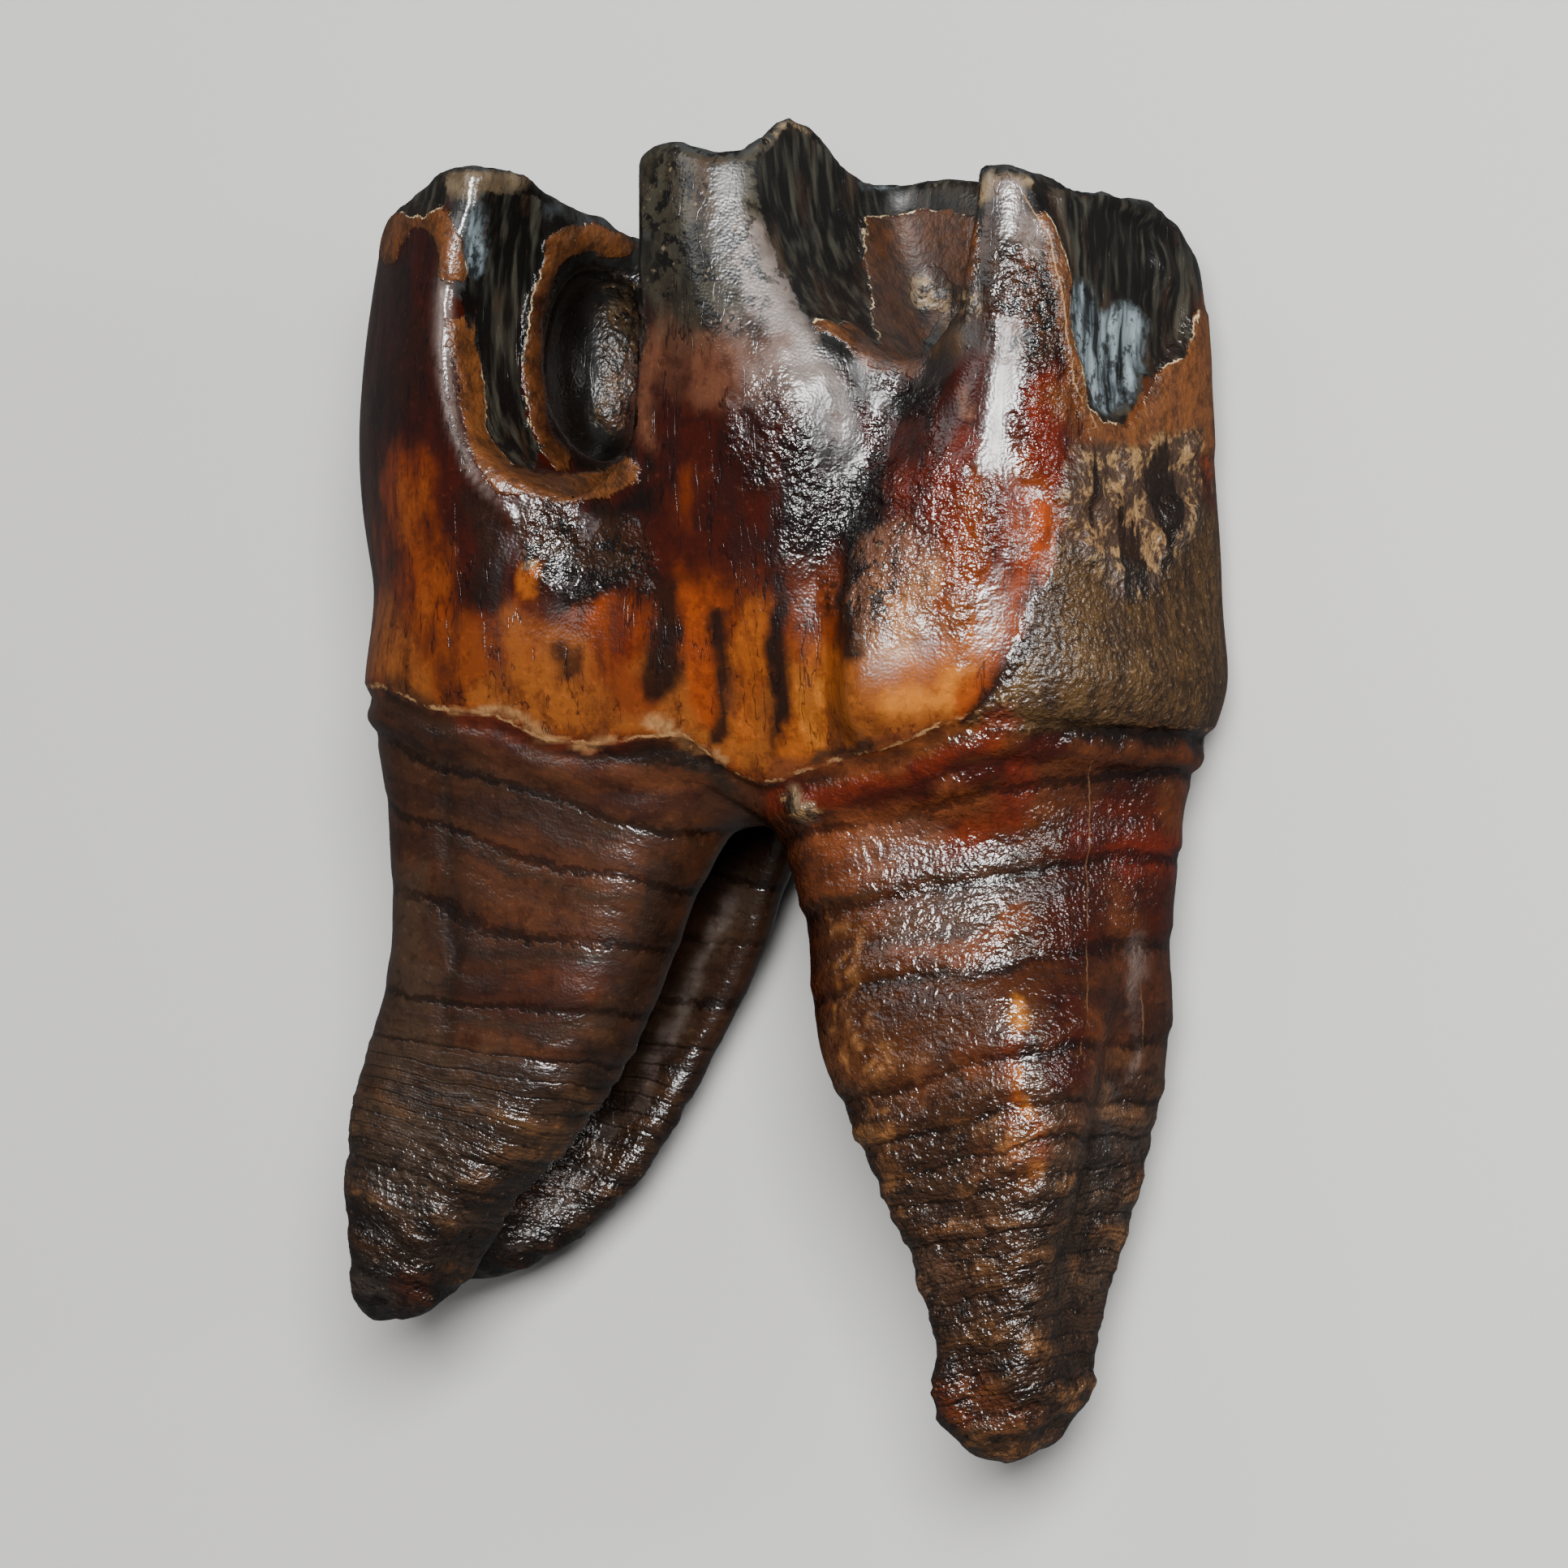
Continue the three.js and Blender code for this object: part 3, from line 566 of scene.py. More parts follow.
relief = relief + 0.14 * band(0.2, 0.4, (3.6, -10.3), (3.4, -12.7), (4.5, -15.6))

# the worn contact is sunk inside its enamel, and dry cement stands up in crusts below it
contact = most(black_in, dentine_in) * (across > 14.5)
relief = relief - 0.55 * shown * ramp(contact, 0, 0.9)
relief = relief + 0.22 * shown * ramp(contact, 0.1, 0.6) * noise(x, y, z, 1.6, 47, 2)
crusts = ramp(noise(x, y, z, 2.2, 51, 3), -0.25, 0.35)
crusty = shown * ramp(crust_in, -0.2, 0.5)
relief = relief + crusty * (0.45 * crusts - 0.15)

# the valleys' cement has a rounded rim, and crumbs of sediment lie in their hollows
cement_shown = shown * ramp(cement_in, -0.3, 0.5)
relief = relief + 0.22 * cement_shown * (up > 14)
crumbs = band(1.2, 0.8, (-9.6, 29.0), (-9.8, 25.7), (-9.9, 22.4))
crumbs = crumbs + 0.8 * band(0.9, 1.2, (8.9, 28.8), (10.9, 28.3))
relief = relief + (0.34 * noise(x, y, z, 0.9, 55, 2) - 0.3) * crumbs
rough_cusp = band(2.0, 1.4, (14.3, 30.2), (14.5, 26.8)) + band(1.6, 1.4, (15.8, 24.0), (15.2, 18.6))
relief = relief + 0.14 * rough_cusp * (1 - np.abs(noise(x, y, z, 1.6, 58, 3)))

# dentine wears lower than the enamel round it
relief = relief - 0.45 * chewing * ramp(wall_depth, 1.2, 2.2)
relief = relief + 0.12 * chewing * noise(x, y, z, 1.8, 57, 3)

relief = relief + 0.016 * ramp(rise, 0, 2) * noise(x, y * 0.4, z, 1.6, 43, 3)
points = points + relief[:, None] * normals

# ---- the stain of the ground ----------------------------------------------------------------------
# Ground water stained the fossil through: black on the worn top, red-brown on the enamel's sides,
# amber near its edge and brown on the roots. Soft colours are laid over each other at each point.


def linear(code):
    """A #rrggbb colour as linear red, green and blue."""
    part = np.array([int(code[i:i + 2], 16) for i in (1, 3, 5)]) / 255
    return np.where(part <= 0.04045, part / 12.92, ((part + 0.055) / 1.055) ** 2.4)


ROOT_BROWN = linear("#3c1e0d")
RUST = linear("#5e290c")
AMBER = linear("#77431a")
ORANGE = linear("#7a350c")
BLOOD = linear("#300c05")
ENAMEL_BLACK = linear("#141413")
SLATE = linear("#33383b")
RED_TAN = linear("#62341a")
GREY_BROWN = linear("#3f342a")
UMBER = linear("#2f1e12")
DARK_BROWN = linear("#1c0d07")

tint = np.ones((len(points), 3)) * ROOT_BROWN


def paint(colour, mask):
    """Moves the tint toward a colour by the mask's share."""
    tint[:] = tint + (colour - tint) * np.clip(mask, 0, 1)[:, None]


def stroke(colour, half_width, soft, strength, *knots):
    """Lays a colour along a polyline: full within its half width, less a soft edge."""
    paint(colour, strength * band(half_width, soft, *knots))


# the ground, seen from every side
blot = noise(x, y, z, 5.0, 91, 4)
streak = noise(x, y * 0.25, z, 2.2, 95, 3)
paint(RUST, ramp(rise, -0.3, 0.3))
paint(AMBER, ramp(rise, 0, 1) * ramp(rise + 2.0 * streak, 7, 3))
paint(ORANGE, ramp(rise + 2.5 * streak, 3, 6) * ramp(rise + 3 * streak, 14, 8))
paint(BLOOD, ramp(rise + 3.0 * streak, 9, 14))
paint(ENAMEL_BLACK, ramp(rise + 3.0 * blot, 19, 25))
paint(SLATE, 0.7 * ramp(rise + 3.0 * blot, 24, 31) * ramp(streak, -0.2, 0.5))
paint(ROOT_BROWN, below)
paint(RED_TAN, 0.4 * below * ramp(blot, 0, 0.7))
paint(BLOOD, 0.6 * below * ramp(y, -14, -4) * ramp(blot, -0.1, -0.6))
paint(GREY_BROWN, 0.75 * below * ramp(y + 2 * blot, -12, -22))
paint(UMBER, 0.6 * below * ramp(y + 3 * streak, -24, -31))

# painted shade: the inside of the fork and of the roots' grooves is darkened
paint(DARK_BROWN, 0.8 * below * ramp(y, -26, -8) * ramp(np.abs(z + 1), 8, 4) * ramp(np.abs(x - 1), 14, 8))

# the ground colours of the tongue side: dark red-brown above, amber toward the enamel's edge
stroke(BLOOD, 6.24, 4.32, 1, (-23.8, 30.5), (-23.3, 21.4), (-15.6, 12.8), (-5.1, 19.5), (1.6, 15.6))
stroke(RUST, 2.88, 2.88, 0.8, (-16.6, 8.0), (-9.9, 8.0), (-3.2, 8.9), (4.0, 10.8), (10.3, 12.8),
       (14.6, 17.6))
stroke(AMBER, 2.02, 1.92, 0.85, (-22.4, 8.0), (-16.6, 5.8), (-9.9, 5.6), (-3.2, 5.1), (-0.3, 3.2))
stroke(AMBER, 2.88, 2.4, 0.9, (-0.3, 4.1), (4.5, 5.6), (10.3, 5.6), (13.6, 8.4))

# growth lines gather dirt
paint(DARK_BROWN, 0.62 * patchy * ring_dark * (1 - 0.4 * tipward))

# ---- the stained crown ----------------------------------------------------------------------------
# Each cusp and hollow of the tongue side has its own stain under the lacquer: grey where wear
# polished the enamel, dark red and amber where it is thick, tan where its rim is broken. The lilac
# sheen along the ridges is painted highlight, and some hollows are darkened with painted shade.

GLOW = linear("#874817")
# painted highlight: a lilac-grey that stands for the sheen on polished ridges and edges
SHEEN_LILAC = linear("#6f6765")
GREY_TAN = linear("#665c4b")
# a near-black used for black stain and, in hollows and on turned-away edges, for painted shade
SHADE_AND_STAIN_BLACK = linear("#0b0a09")
CRUMB = linear("#5d4930")
BONE = linear("#8c7c62")
DEEP_RED = linear("#541808")
ASH = linear("#3a382f")
PINK_BROWN = linear("#674432")
CEMENT_DARK = linear("#3b210d")
CEMENT = linear("#5f3718")
OLIVE = linear("#43301a")
VERMILION = linear("#a8441a")
PALE_AMBER = linear("#b07a4a")
GOLD = linear("#c07c2c")

# the back flank: cement arch, dark red, then the long orange glow
stroke(SLATE, 1.06, 0.96, 0.9, (-22.8, 34.3), (-20.2, 36.0))
stroke(BLOOD, 2.16, 1.44, 1, (-23.4, 30.5), (-23.6, 25.7), (-23.3, 22.4))
stroke(DARK_BROWN, 1.15, 1.15, 0.7, (-22.4, 29.6), (-22.8, 23.8), (-23.8, 21.4))
stroke(UMBER, 0.77, 0.77, 0.8, (-24.9, 23.3), (-25.0, 17.6), (-24.3, 11.8))
stroke(ORANGE, 1.25, 2.11, 0.65, (-22.1, 18.0), (-21.7, 14.7), (-21.3, 11.6), (-20.8, 8.9))
stroke(GLOW, 0.58, 1.92, 0.45, (-21.8, 16.6), (-21.4, 13.2), (-20.7, 10.4))
stroke(RUST, 1.25, 1.15, 0.8, (-20.2, 8.0), (-17.6, 8.0), (-19.5, 6.0))
stroke(BLOOD, 0.77, 0.77, 0.9, (-19.0, 17.6), (-18.5, 13.2), (-18.0, 10.8))
stroke(DARK_BROWN, 1.06, 1.06, 0.9, (-18.0, 16.6), (-16.6, 13.2), (-17.6, 10.8))
stroke(AMBER, 1.15, 1.06, 0.9, (-22.8, 8.0), (-22.4, 6.3))
stroke(UMBER, 0.38, 0.43, 0.7, (-22.8, 6.0), (-20.9, 5.0))

# the back ridge: a grey worn enamel crest with a painted lilac highlight along it, beside the black
# tongue of the valley's wall
paint(SHEEN_LILAC, 0.8 * crest * ramp(up, 15.5, 19))
stroke(SLATE, 0.67, 0.58, 0.9, (-18.8, 35.3), (-18.8, 32.0), (-19.2, 29.6))
stroke(GREY_TAN, 0.96, 0.67, 0.9, (-19.5, 35.7), (-18.0, 36.0), (-16.2, 36.2))
stroke(SLATE, 0.43, 0.43, 0.9, (-17.6, 34.4), (-18.0, 30.5), (-18.1, 26.7))
stroke(GREY_BROWN, 0.67, 0.58, 0.6, (-16.4, 32.4), (-16.2, 27.6))

# the back valley: a hollow dark with painted shade and crumbs of sediment, inside its ring of cement
stroke(SHADE_AND_STAIN_BLACK, 1.63, 1.06, 1, (-12.2, 29.1), (-12.5, 25.2), (-12.2, 20.9), (-10.4, 19.5))
stroke(CRUMB, 0.67, 1.15, 0.4, (-9.6, 29.1), (-9.8, 25.7), (-9.9, 22.4))
stroke(SHADE_AND_STAIN_BLACK, 0.58, 0.48, 0.9, (-10.9, 16.1), (-9.4, 15.6), (-8.0, 17.6))
stroke(SLATE, 0.38, 0.38, 0.9, (-14.3, 33.8), (-12.8, 34.0), (-10.8, 33.3), (-8.6, 32.0))

# below the back valley: a pitted dark patch, a small amber bump and red stains
stroke(SHADE_AND_STAIN_BLACK, 1.63, 1.63, 0.9, (-12.8, 13.2), (-11.3, 11.8), (-9.9, 13.2), (-12.8, 10.4))
stroke(UMBER, 1.44, 1.25, 0.7, (-15.2, 15.2), (-12.8, 14.7), (-9.4, 14.2))
stroke(GLOW, 0.62, 0.48, 1, (-15.1, 11.7), (-14.6, 12.8))
stroke(BONE, 0.34, 0.34, 0.8, (-14.6, 13.2))
stroke(AMBER, 1.25, 1.25, 0.7, (-15.6, 8.9), (-12.8, 8.0), (-13.2, 5.6))
stroke(DARK_BROWN, 0.58, 0.58, 0.8, (-13.2, 8.0), (-12.5, 6.5))
stroke(DEEP_RED, 1.06, 1.25, 0.6, (-9.4, 9.4), (-9.9, 6.5), (-8.4, 5.1))
stroke(DARK_BROWN, 1.15, 0.77, 0.95, (-7.0, 11.3), (-6.8, 8.0), (-7.2, 5.8))
stroke(DARK_BROWN, 0.62, 0.48, 0.95, (-3.9, 10.4), (-3.5, 7.0), (-4.1, 3.6))
stroke(DARK_BROWN, 0.53, 0.43, 0.95, (-0.3, 11.8), (-0.5, 8.0), (-0.2, 4.1), (-0.3, 2.0))
stroke(ORANGE, 0.67, 0.58, 0.95, (-5.3, 10.8), (-4.9, 7.5), (-4.7, 4.6))
stroke(GLOW, 0.62, 0.53, 0.95, (-1.7, 10.4), (-2.0, 6.5), (-2.4, 3.2))
stroke(GLOW, 1.25, 0.96, 0.95, (2.1, 7.0), (1.9, 4.1), (0.9, 2.4))

# the middle cusp: mottled grey-black enamel at the top, a pink-brown belt, then dark red; a
# lilac band down its ridge is painted highlight
stroke(ASH, 2.88, 1.92, 0.95, (-7.2, 36.3), (-4.1, 35.3), (-0.3, 35.8), (0.2, 32.0))
stroke(GREY_BROWN, 1.25, 1.15, 0.8, (-4.6, 36.8), (-4.1, 33.9))
stroke(ASH, 1.25, 1.44, 0.75, (-7.0, 33.9), (-7.2, 30.0), (-6.3, 27.2))
stroke(ASH, 0.96, 1.15, 0.7, (-4.6, 32.0), (-3.9, 28.6))
stroke(SHEEN_LILAC, 1.3, 1.25, 0.9, (-2.0, 32.5), (-1.5, 31.2), (-0.5, 28.1), (1.2, 25.0), (2.8, 21.6))
stroke(PINK_BROWN, 1.5, 3.1, 0.6, (-7.0, 25.2), (-4.6, 25.7), (-1.7, 24.8), (-4.1, 23.3))
stroke(SHEEN_LILAC, 0.6, 1.5, 0.35, (-3.2, 27.6), (-2.6, 25.0), (-2.0, 22.5))
stroke(SHEEN_LILAC, 0.96, 1.44, 0.5, (-0.8, 24.8), (0.9, 21.9))
stroke(BLOOD, 2.11, 1.63, 0.95, (-7.0, 20.4), (-5.1, 18.0), (-3.2, 19.5))
stroke(ORANGE, 0.4, 1.8, 0.45, (-6.1, 17.6), (-5.8, 15.2))
stroke(BLOOD, 1.25, 1.15, 0.6, (-8.0, 16.6), (-6.5, 12.8), (-4.1, 13.7))
stroke(PINK_BROWN, 0.58, 0.58, 0.6, (-8.2, 23.3), (-8.0, 20.4))
stroke(SHADE_AND_STAIN_BLACK, 0.48, 0.43, 0.8, (-8.4, 19.5), (-8.8, 16.6))

# its front face: black enamel, and the broken beige rim of the peak
stroke(ENAMEL_BLACK, 1.63, 1.06, 1, (0.4, 35.3), (1.6, 32.0), (3.1, 29.1))
stroke(SLATE, 0.58, 0.67, 0.7, (0.9, 37.2), (2.1, 34.8), (3.3, 32.0))
stroke(BONE, 0.43, 0.38, 0.95, (-2.4, 37.7), (-1.0, 38.5), (0.4, 39.3), (1.2, 38.7))
stroke(SLATE, 0.67, 0.67, 0.8, (3.8, 36.0), (6.0, 35.9), (7.9, 36.0))
stroke(BONE, 0.43, 0.38, 0.9, (8.4, 35.2), (10.0, 34.9), (11.5, 35.2))

# the front valley: a brown cement wall, a hollow with crumbs darkened round by painted shade, and an
# olive floor
stroke(CEMENT_DARK, 2.11, 1.44, 1, (6.0, 32.0), (10.3, 32.0), (6.9, 27.6))
stroke(CEMENT, 0.96, 0.96, 0.8, (6.0, 32.4), (10.8, 32.7))
stroke(UMBER, 1.5, 1.1, 0.9, (8.9, 29.0), (11.2, 28.0), (9.5, 26.4))
stroke(SHADE_AND_STAIN_BLACK, 0.7, 1.1, 0.75, (7.8, 29.4), (8.1, 27.4), (10.6, 26.4))
loose = band(1.3, 0.7, (8.6, 29.1), (11.0, 28.2)) * ramp(noise(x, y, z, 1.3, 67, 2), 0.0, 0.3)
paint(CRUMB, loose)
paint(BONE, 0.5 * loose)
stroke(OLIVE, 1.06, 0.86, 0.9, (6.9, 26.2), (9.3, 26.0))
stroke(RED_TAN, 0.53, 0.43, 0.95, (2.2, 27.1), (3.8, 26.6), (5.5, 25.2), (7.9, 24.5))
stroke(SHADE_AND_STAIN_BLACK, 1.44, 1.34, 0.85, (5.0, 23.3), (6.9, 22.4), (8.8, 23.8))

# the front cusp's narrow ridge: pale at its tip, then speckled brown and deep red, with two painted
# lilac highlights down it
stroke(BONE, 0.48, 0.43, 0.8, (12.0, 35.7), (13.2, 36.2), (15.3, 36.0))
stroke(SHEEN_LILAC, 0.82, 0.48, 0.95, (13.6, 35.3), (14.2, 33.4), (14.5, 31.7))
stroke(UMBER, 0.67, 0.67, 0.9, (12.6, 33.4), (12.6, 30.5))
stroke(UMBER, 1.63, 1.25, 0.85, (14.4, 29.6), (14.4, 26.7))
stroke(RED_TAN, 0.67, 0.96, 0.5, (14.2, 30.5), (13.6, 27.2))
stroke(UMBER, 0.96, 0.96, 0.6, (13.2, 30.0), (15.6, 27.2))
stroke(SHEEN_LILAC, 0.72, 0.58, 0.85, (13.2, 25.7), (12.8, 22.4), (12.3, 18.5))
stroke(DEEP_RED, 1.44, 1.06, 0.95, (15.6, 23.3), (16.0, 20.4), (15.6, 18.5))
stroke(DEEP_RED, 0.77, 0.67, 0.9, (10.8, 20.4), (10.0, 18.0))
stroke(DEEP_RED, 0.86, 0.77, 0.85, (13.4, 16.6), (12.9, 12.8))
stroke(ORANGE, 1.06, 1.92, 0.8, (14.2, 15.2), (14.7, 12.3), (14.0, 9.4))
stroke(VERMILION, 0.58, 1.92, 0.4, (14.4, 16.6), (14.6, 14.7), (14.2, 11.8), (13.2, 8.4))
stroke(PINK_BROWN, 0.43, 0.43, 0.8, (10.8, 23.3), (11.0, 21.9))

# the hollow below the front valley: black and white wrinkled lacquer over red
stroke(SHADE_AND_STAIN_BLACK, 2.88, 2.4, 0.85, (1.6, 19.5), (2.1, 15.6), (4.5, 16.6))
stroke(BLOOD, 1.15, 1.44, 0.6, (-1.7, 15.6), (-0.3, 11.8))
# painted shade: slate down the side of the hollow that turns away from the light
stroke(SLATE, 1.44, 1.25, 0.75, (4.5, 13.7), (4.9, 10.8))
stroke(SHADE_AND_STAIN_BLACK, 0.7, 1.0, 0.7, (7.4, 23.2), (5.9, 21.2), (4.9, 18.4))
# painted shade: soot down the same turned-away side of the hollow
stroke(SHADE_AND_STAIN_BLACK, 1.06, 0.67, 0.9, (4.0, 14.9), (4.3, 11.8), (4.0, 8.2))
stroke(DEEP_RED, 1.44, 1.34, 0.7, (7.9, 17.6), (8.8, 14.7))
stroke(PINK_BROWN, 2.11, 1.73, 0.85, (6.9, 12.8), (7.4, 8.9))
# painted highlight: pale amber on the bulge where it shines
stroke(PALE_AMBER, 1.44, 1.92, 0.6, (7.6, 10.4), (6.9, 8.0))
stroke(GLOW, 1.44, 1.25, 0.9, (6.9, 5.6), (10.3, 6.5), (12.2, 8.4))
stroke(GOLD, 0.77, 0.96, 0.45, (6.2, 4.7), (8.8, 5.2), (11.2, 6.3))
stroke(GOLD, 0.67, 0.86, 0.45, (1.6, 6.0), (1.9, 3.2))
stroke(ORANGE, 1.06, 0.96, 0.9, (10.8, 4.6), (13.2, 7.0), (14.6, 9.9))
stroke(CEMENT_DARK, 0.48, 0.48, 0.7, (13.6, 6.0), (15.6, 9.9), (16.5, 12.8))

# the front face: cement round the worn contact, a crusty patch, then olive sandy cement
stroke(CEMENT, 2.11, 1.25, 0.9, (17.5, 22.4), (20.8, 20.0), (24.2, 23.8), (24.7, 27.2))
stroke(PALE_AMBER, 0.58, 0.58, 0.8, (16.6, 32.4), (17.1, 30.0))
stroke(RED_TAN, 0.77, 0.67, 0.8, (18.2, 20.9), (20.4, 19.5), (22.8, 19.5))
stroke(UMBER, 1.44, 1.25, 0.7, (24.2, 9.9), (24.7, 6.0), (24.9, 15.6))
stroke(BLOOD, 0.67, 0.67, 0.9, (22.8, 15.2), (24.7, 15.6))
stroke(ORANGE, 0.43, 0.48, 0.8, (24.7, 17.6), (25.1, 19.0))
stroke(DARK_BROWN, 0.58, 0.58, 0.9, (19.9, 11.7), (22.8, 13.2), (24.7, 14.9))
stroke(SHADE_AND_STAIN_BLACK, 0.58, 0.53, 0.9, (14.8, 2.3), (17.5, 2.9), (20.4, 3.6), (23.2, 2.9), (24.6, 2.4))

# ---- the sandy cement of the front ----------------------------------------------------------------
# Below the crusts the front of the crown is still coated by sandy cement, stained olive. Its torn
# edge is dark beside the amber enamel.

OLIVE_LIGHT = linear("#5a4528")

olive = shown * ramp(olive_in + 0.25 * fray, -0.2, 0.2)
paint(OLIVE, olive)
paint(OLIVE_LIGHT, 0.3 * olive * ramp(blot, -0.2, 0.6))
stroke(DARK_BROWN, 0.24, 0.29, 0.9, (10.3, 3.3), (12.8, 5.7), (14.2, 8.9), (15.6, 11.6))
stroke(RUST, 0.38, 0.48, 0.8, (11.0, 4.1), (12.6, 6.3), (13.7, 9.2), (14.8, 11.6))

# ---- the stained neck and roots -------------------------------------------------------------------
# Root cement takes the stain in rings, dark in each growth line, with tan veins and gold spots
# where it is thin, and turns grey-brown toward the tips.

CRUST_LINE = linear("#94704a")
TAN_VEIN = linear("#8a6038")

# below the enamel: a crust line, a red band, tan folds and dark arcs toward the fork
stroke(DARK_BROWN, 0.62, 0.58, 0.8, (-23.2, 5.1), (-21.4, 3.6), (-19.5, 2.9))
stroke(DEEP_RED, 1.15, 0.77, 0.7, (-18.5, 3.6), (-15.6, 2.9), (-12.8, 2.0), (-9.9, 1.5))
stroke(DARK_BROWN, 0.43, 0.38, 0.9, (-12.8, 2.0), (-9.4, 1.3), (-6.0, 1.7), (-4.1, 0.8))
stroke(RED_TAN, 0.96, 0.67, 0.9, (-17.6, 1.2), (-12.8, 0.4), (-8.4, -0.3), (-5.6, 0.0))
stroke(BLOOD, 0.62, 0.53, 0.9, (-15.6, 0.0), (-11.8, -0.9), (-8.0, -1.4), (-5.1, -0.9))
stroke(CEMENT_DARK, 0.77, 0.67, 0.8, (-19.5, 0.8), (-17.6, -1.6), (-12.8, -2.6))
stroke(CRUST_LINE, 0.29, 0.29, 0.95, (-19.5, 4.6), (-15.6, 4.0), (-13.2, 2.9), (-9.9, 2.4))
stroke(CRUST_LINE, 0.29, 0.29, 0.85, (-8.0, 3.6), (-5.6, 2.8), (-3.6, 1.5))
stroke(SHADE_AND_STAIN_BLACK, 0.34, 0.29, 0.9, (-5.6, 1.5), (-4.1, 0.9), (-2.9, -0.4))
stroke(RED_TAN, 0.58, 0.48, 0.95, (-0.0, 0.8), (2.1, 1.2), (4.5, 2.0), (7.4, 2.9))
stroke(UMBER, 0.29, 0.29, 0.8, (1.6, 1.5), (5.0, 2.4))
stroke(DEEP_RED, 0.77, 0.58, 0.8, (-0.3, -0.9), (4.0, -0.9), (7.9, 0.5), (11.2, 2.2), (13.2, 4.1))
stroke(DARK_BROWN, 0.38, 0.34, 0.9, (10.3, 3.4), (12.7, 5.6), (13.9, 8.0))
stroke(RED_TAN, 0.38, 0.43, 0.8, (4.5, 0.5), (6.9, 1.0))
stroke(BLOOD, 0.67, 0.53, 0.9, (4.5, -1.6), (9.3, -0.2), (14.1, 1.6), (15.6, 2.0))
stroke(BONE, 0.43, 0.34, 0.9, (0.9, -0.9), (1.4, -1.6))
stroke(SLATE, 0.34, 0.29, 0.9, (1.7, -2.2))

# the front root: glossy brown bands above, tan veins and spots, a grey-brown wrinkled tip. A grey
# sheen on an upper band and slate and lilac stripes down its front edge are painted highlights
stroke(RED_TAN, 2.88, 2.88, 0.5, (6.4, -16.0), (10.3, -21.8), (11.2, -28.5))
stroke(RED_TAN, 1.63, 1.25, 0.85, (3.6, -3.6), (7.4, -3.1), (11.2, -1.6))
stroke(DEEP_RED, 1.06, 1.44, 0.7, (10.3, -3.6), (13.2, -1.6), (14.1, 0.3))
stroke(PINK_BROWN, 1.25, 1.06, 0.7, (5.5, -4.0), (7.9, -3.3))
# painted highlight: a grey-brown sheen where the upper bands shine
stroke(GREY_BROWN, 1.92, 1.63, 0.4, (7.4, -8.8), (11.2, -7.4), (13.6, -6.0))
stroke(BLOOD, 1.44, 1.15, 0.85, (2.1, -8.8), (2.6, -11.2))
stroke(UMBER, 0.29, 0.29, 0.9, (1.2, -7.3), (4.7, -6.6), (8.7, -5.8), (14.4, -4.1))
stroke(UMBER, 0.29, 0.29, 0.9, (6.2, -11.6), (10.0, -10.7), (14.4, -9.4))
stroke(RED_TAN, 0.67, 0.58, 0.8, (6.9, -10.0), (11.2, -9.6), (13.9, -7.9))
stroke(CEMENT_DARK, 1.92, 1.63, 0.5, (6.4, -14.1), (10.3, -13.2))
stroke(BLOOD, 1.92, 1.44, 0.8, (17.0, -8.8), (18.4, -4.5), (20.8, -1.6), (22.3, -7.4))
stroke(DEEP_RED, 1.15, 1.92, 0.7, (18.0, -2.6), (20.8, -4.0), (22.8, -3.6))
stroke(BLOOD, 1.25, 1.06, 0.9, (16.0, -12.7), (17.0, -17.0))
stroke(TAN_VEIN, 0.14, 0.24, 0.8, (3.6, -10.3), (3.4, -12.7), (4.5, -15.6))
stroke(TAN_VEIN, 0.14, 0.24, 0.7, (5.7, -13.6), (6.7, -17.0))
stroke(TAN_VEIN, 0.19, 0.19, 0.7, (3.6, -10.3), (4.5, -9.3))
stroke(GOLD, 0.3, 0.8, 0.8, (13.2, -12.4), (13.5, -14.4))
stroke(GOLD, 0.3, 0.8, 0.8, (14.1, -16.6), (14.5, -19.2))
stroke(GOLD, 0.43, 0.43, 0.9, (15.0, -22.8), (14.5, -23.5))
stroke(ORANGE, 0.77, 1.15, 0.6, (13.6, -15.6), (14.2, -20.8), (14.6, -23.7))
stroke(RED_TAN, 0.96, 0.86, 0.7, (10.8, -15.6), (12.2, -17.5))
stroke(UMBER, 2.88, 2.4, 0.8, (5.5, -20.8), (8.4, -22.3), (10.3, -19.9))
# painted highlight: slate and lilac stripes along the front edge
stroke(SLATE, 0.96, 1.44, 0.6, (19.4, -18.4), (19.2, -22.3), (18.9, -24.7))
stroke(SHEEN_LILAC, 0.43, 0.77, 0.45, (20.9, -9.3), (20.8, -13.2), (20.4, -17.0))
stroke(GREY_BROWN, 4.32, 2.88, 0.55, (10.3, -27.6), (13.2, -28.5), (16.0, -26.6))
stroke(UMBER, 2.88, 2.88, 0.6, (9.3, -24.7), (14.1, -26.6), (12.2, -32.8))
stroke(RED_TAN, 1.06, 1.44, 0.5, (11.2, -35.7), (13.6, -37.2))
stroke(RUST, 0.67, 0.77, 0.6, (9.2, -36.0), (10.0, -37.2))

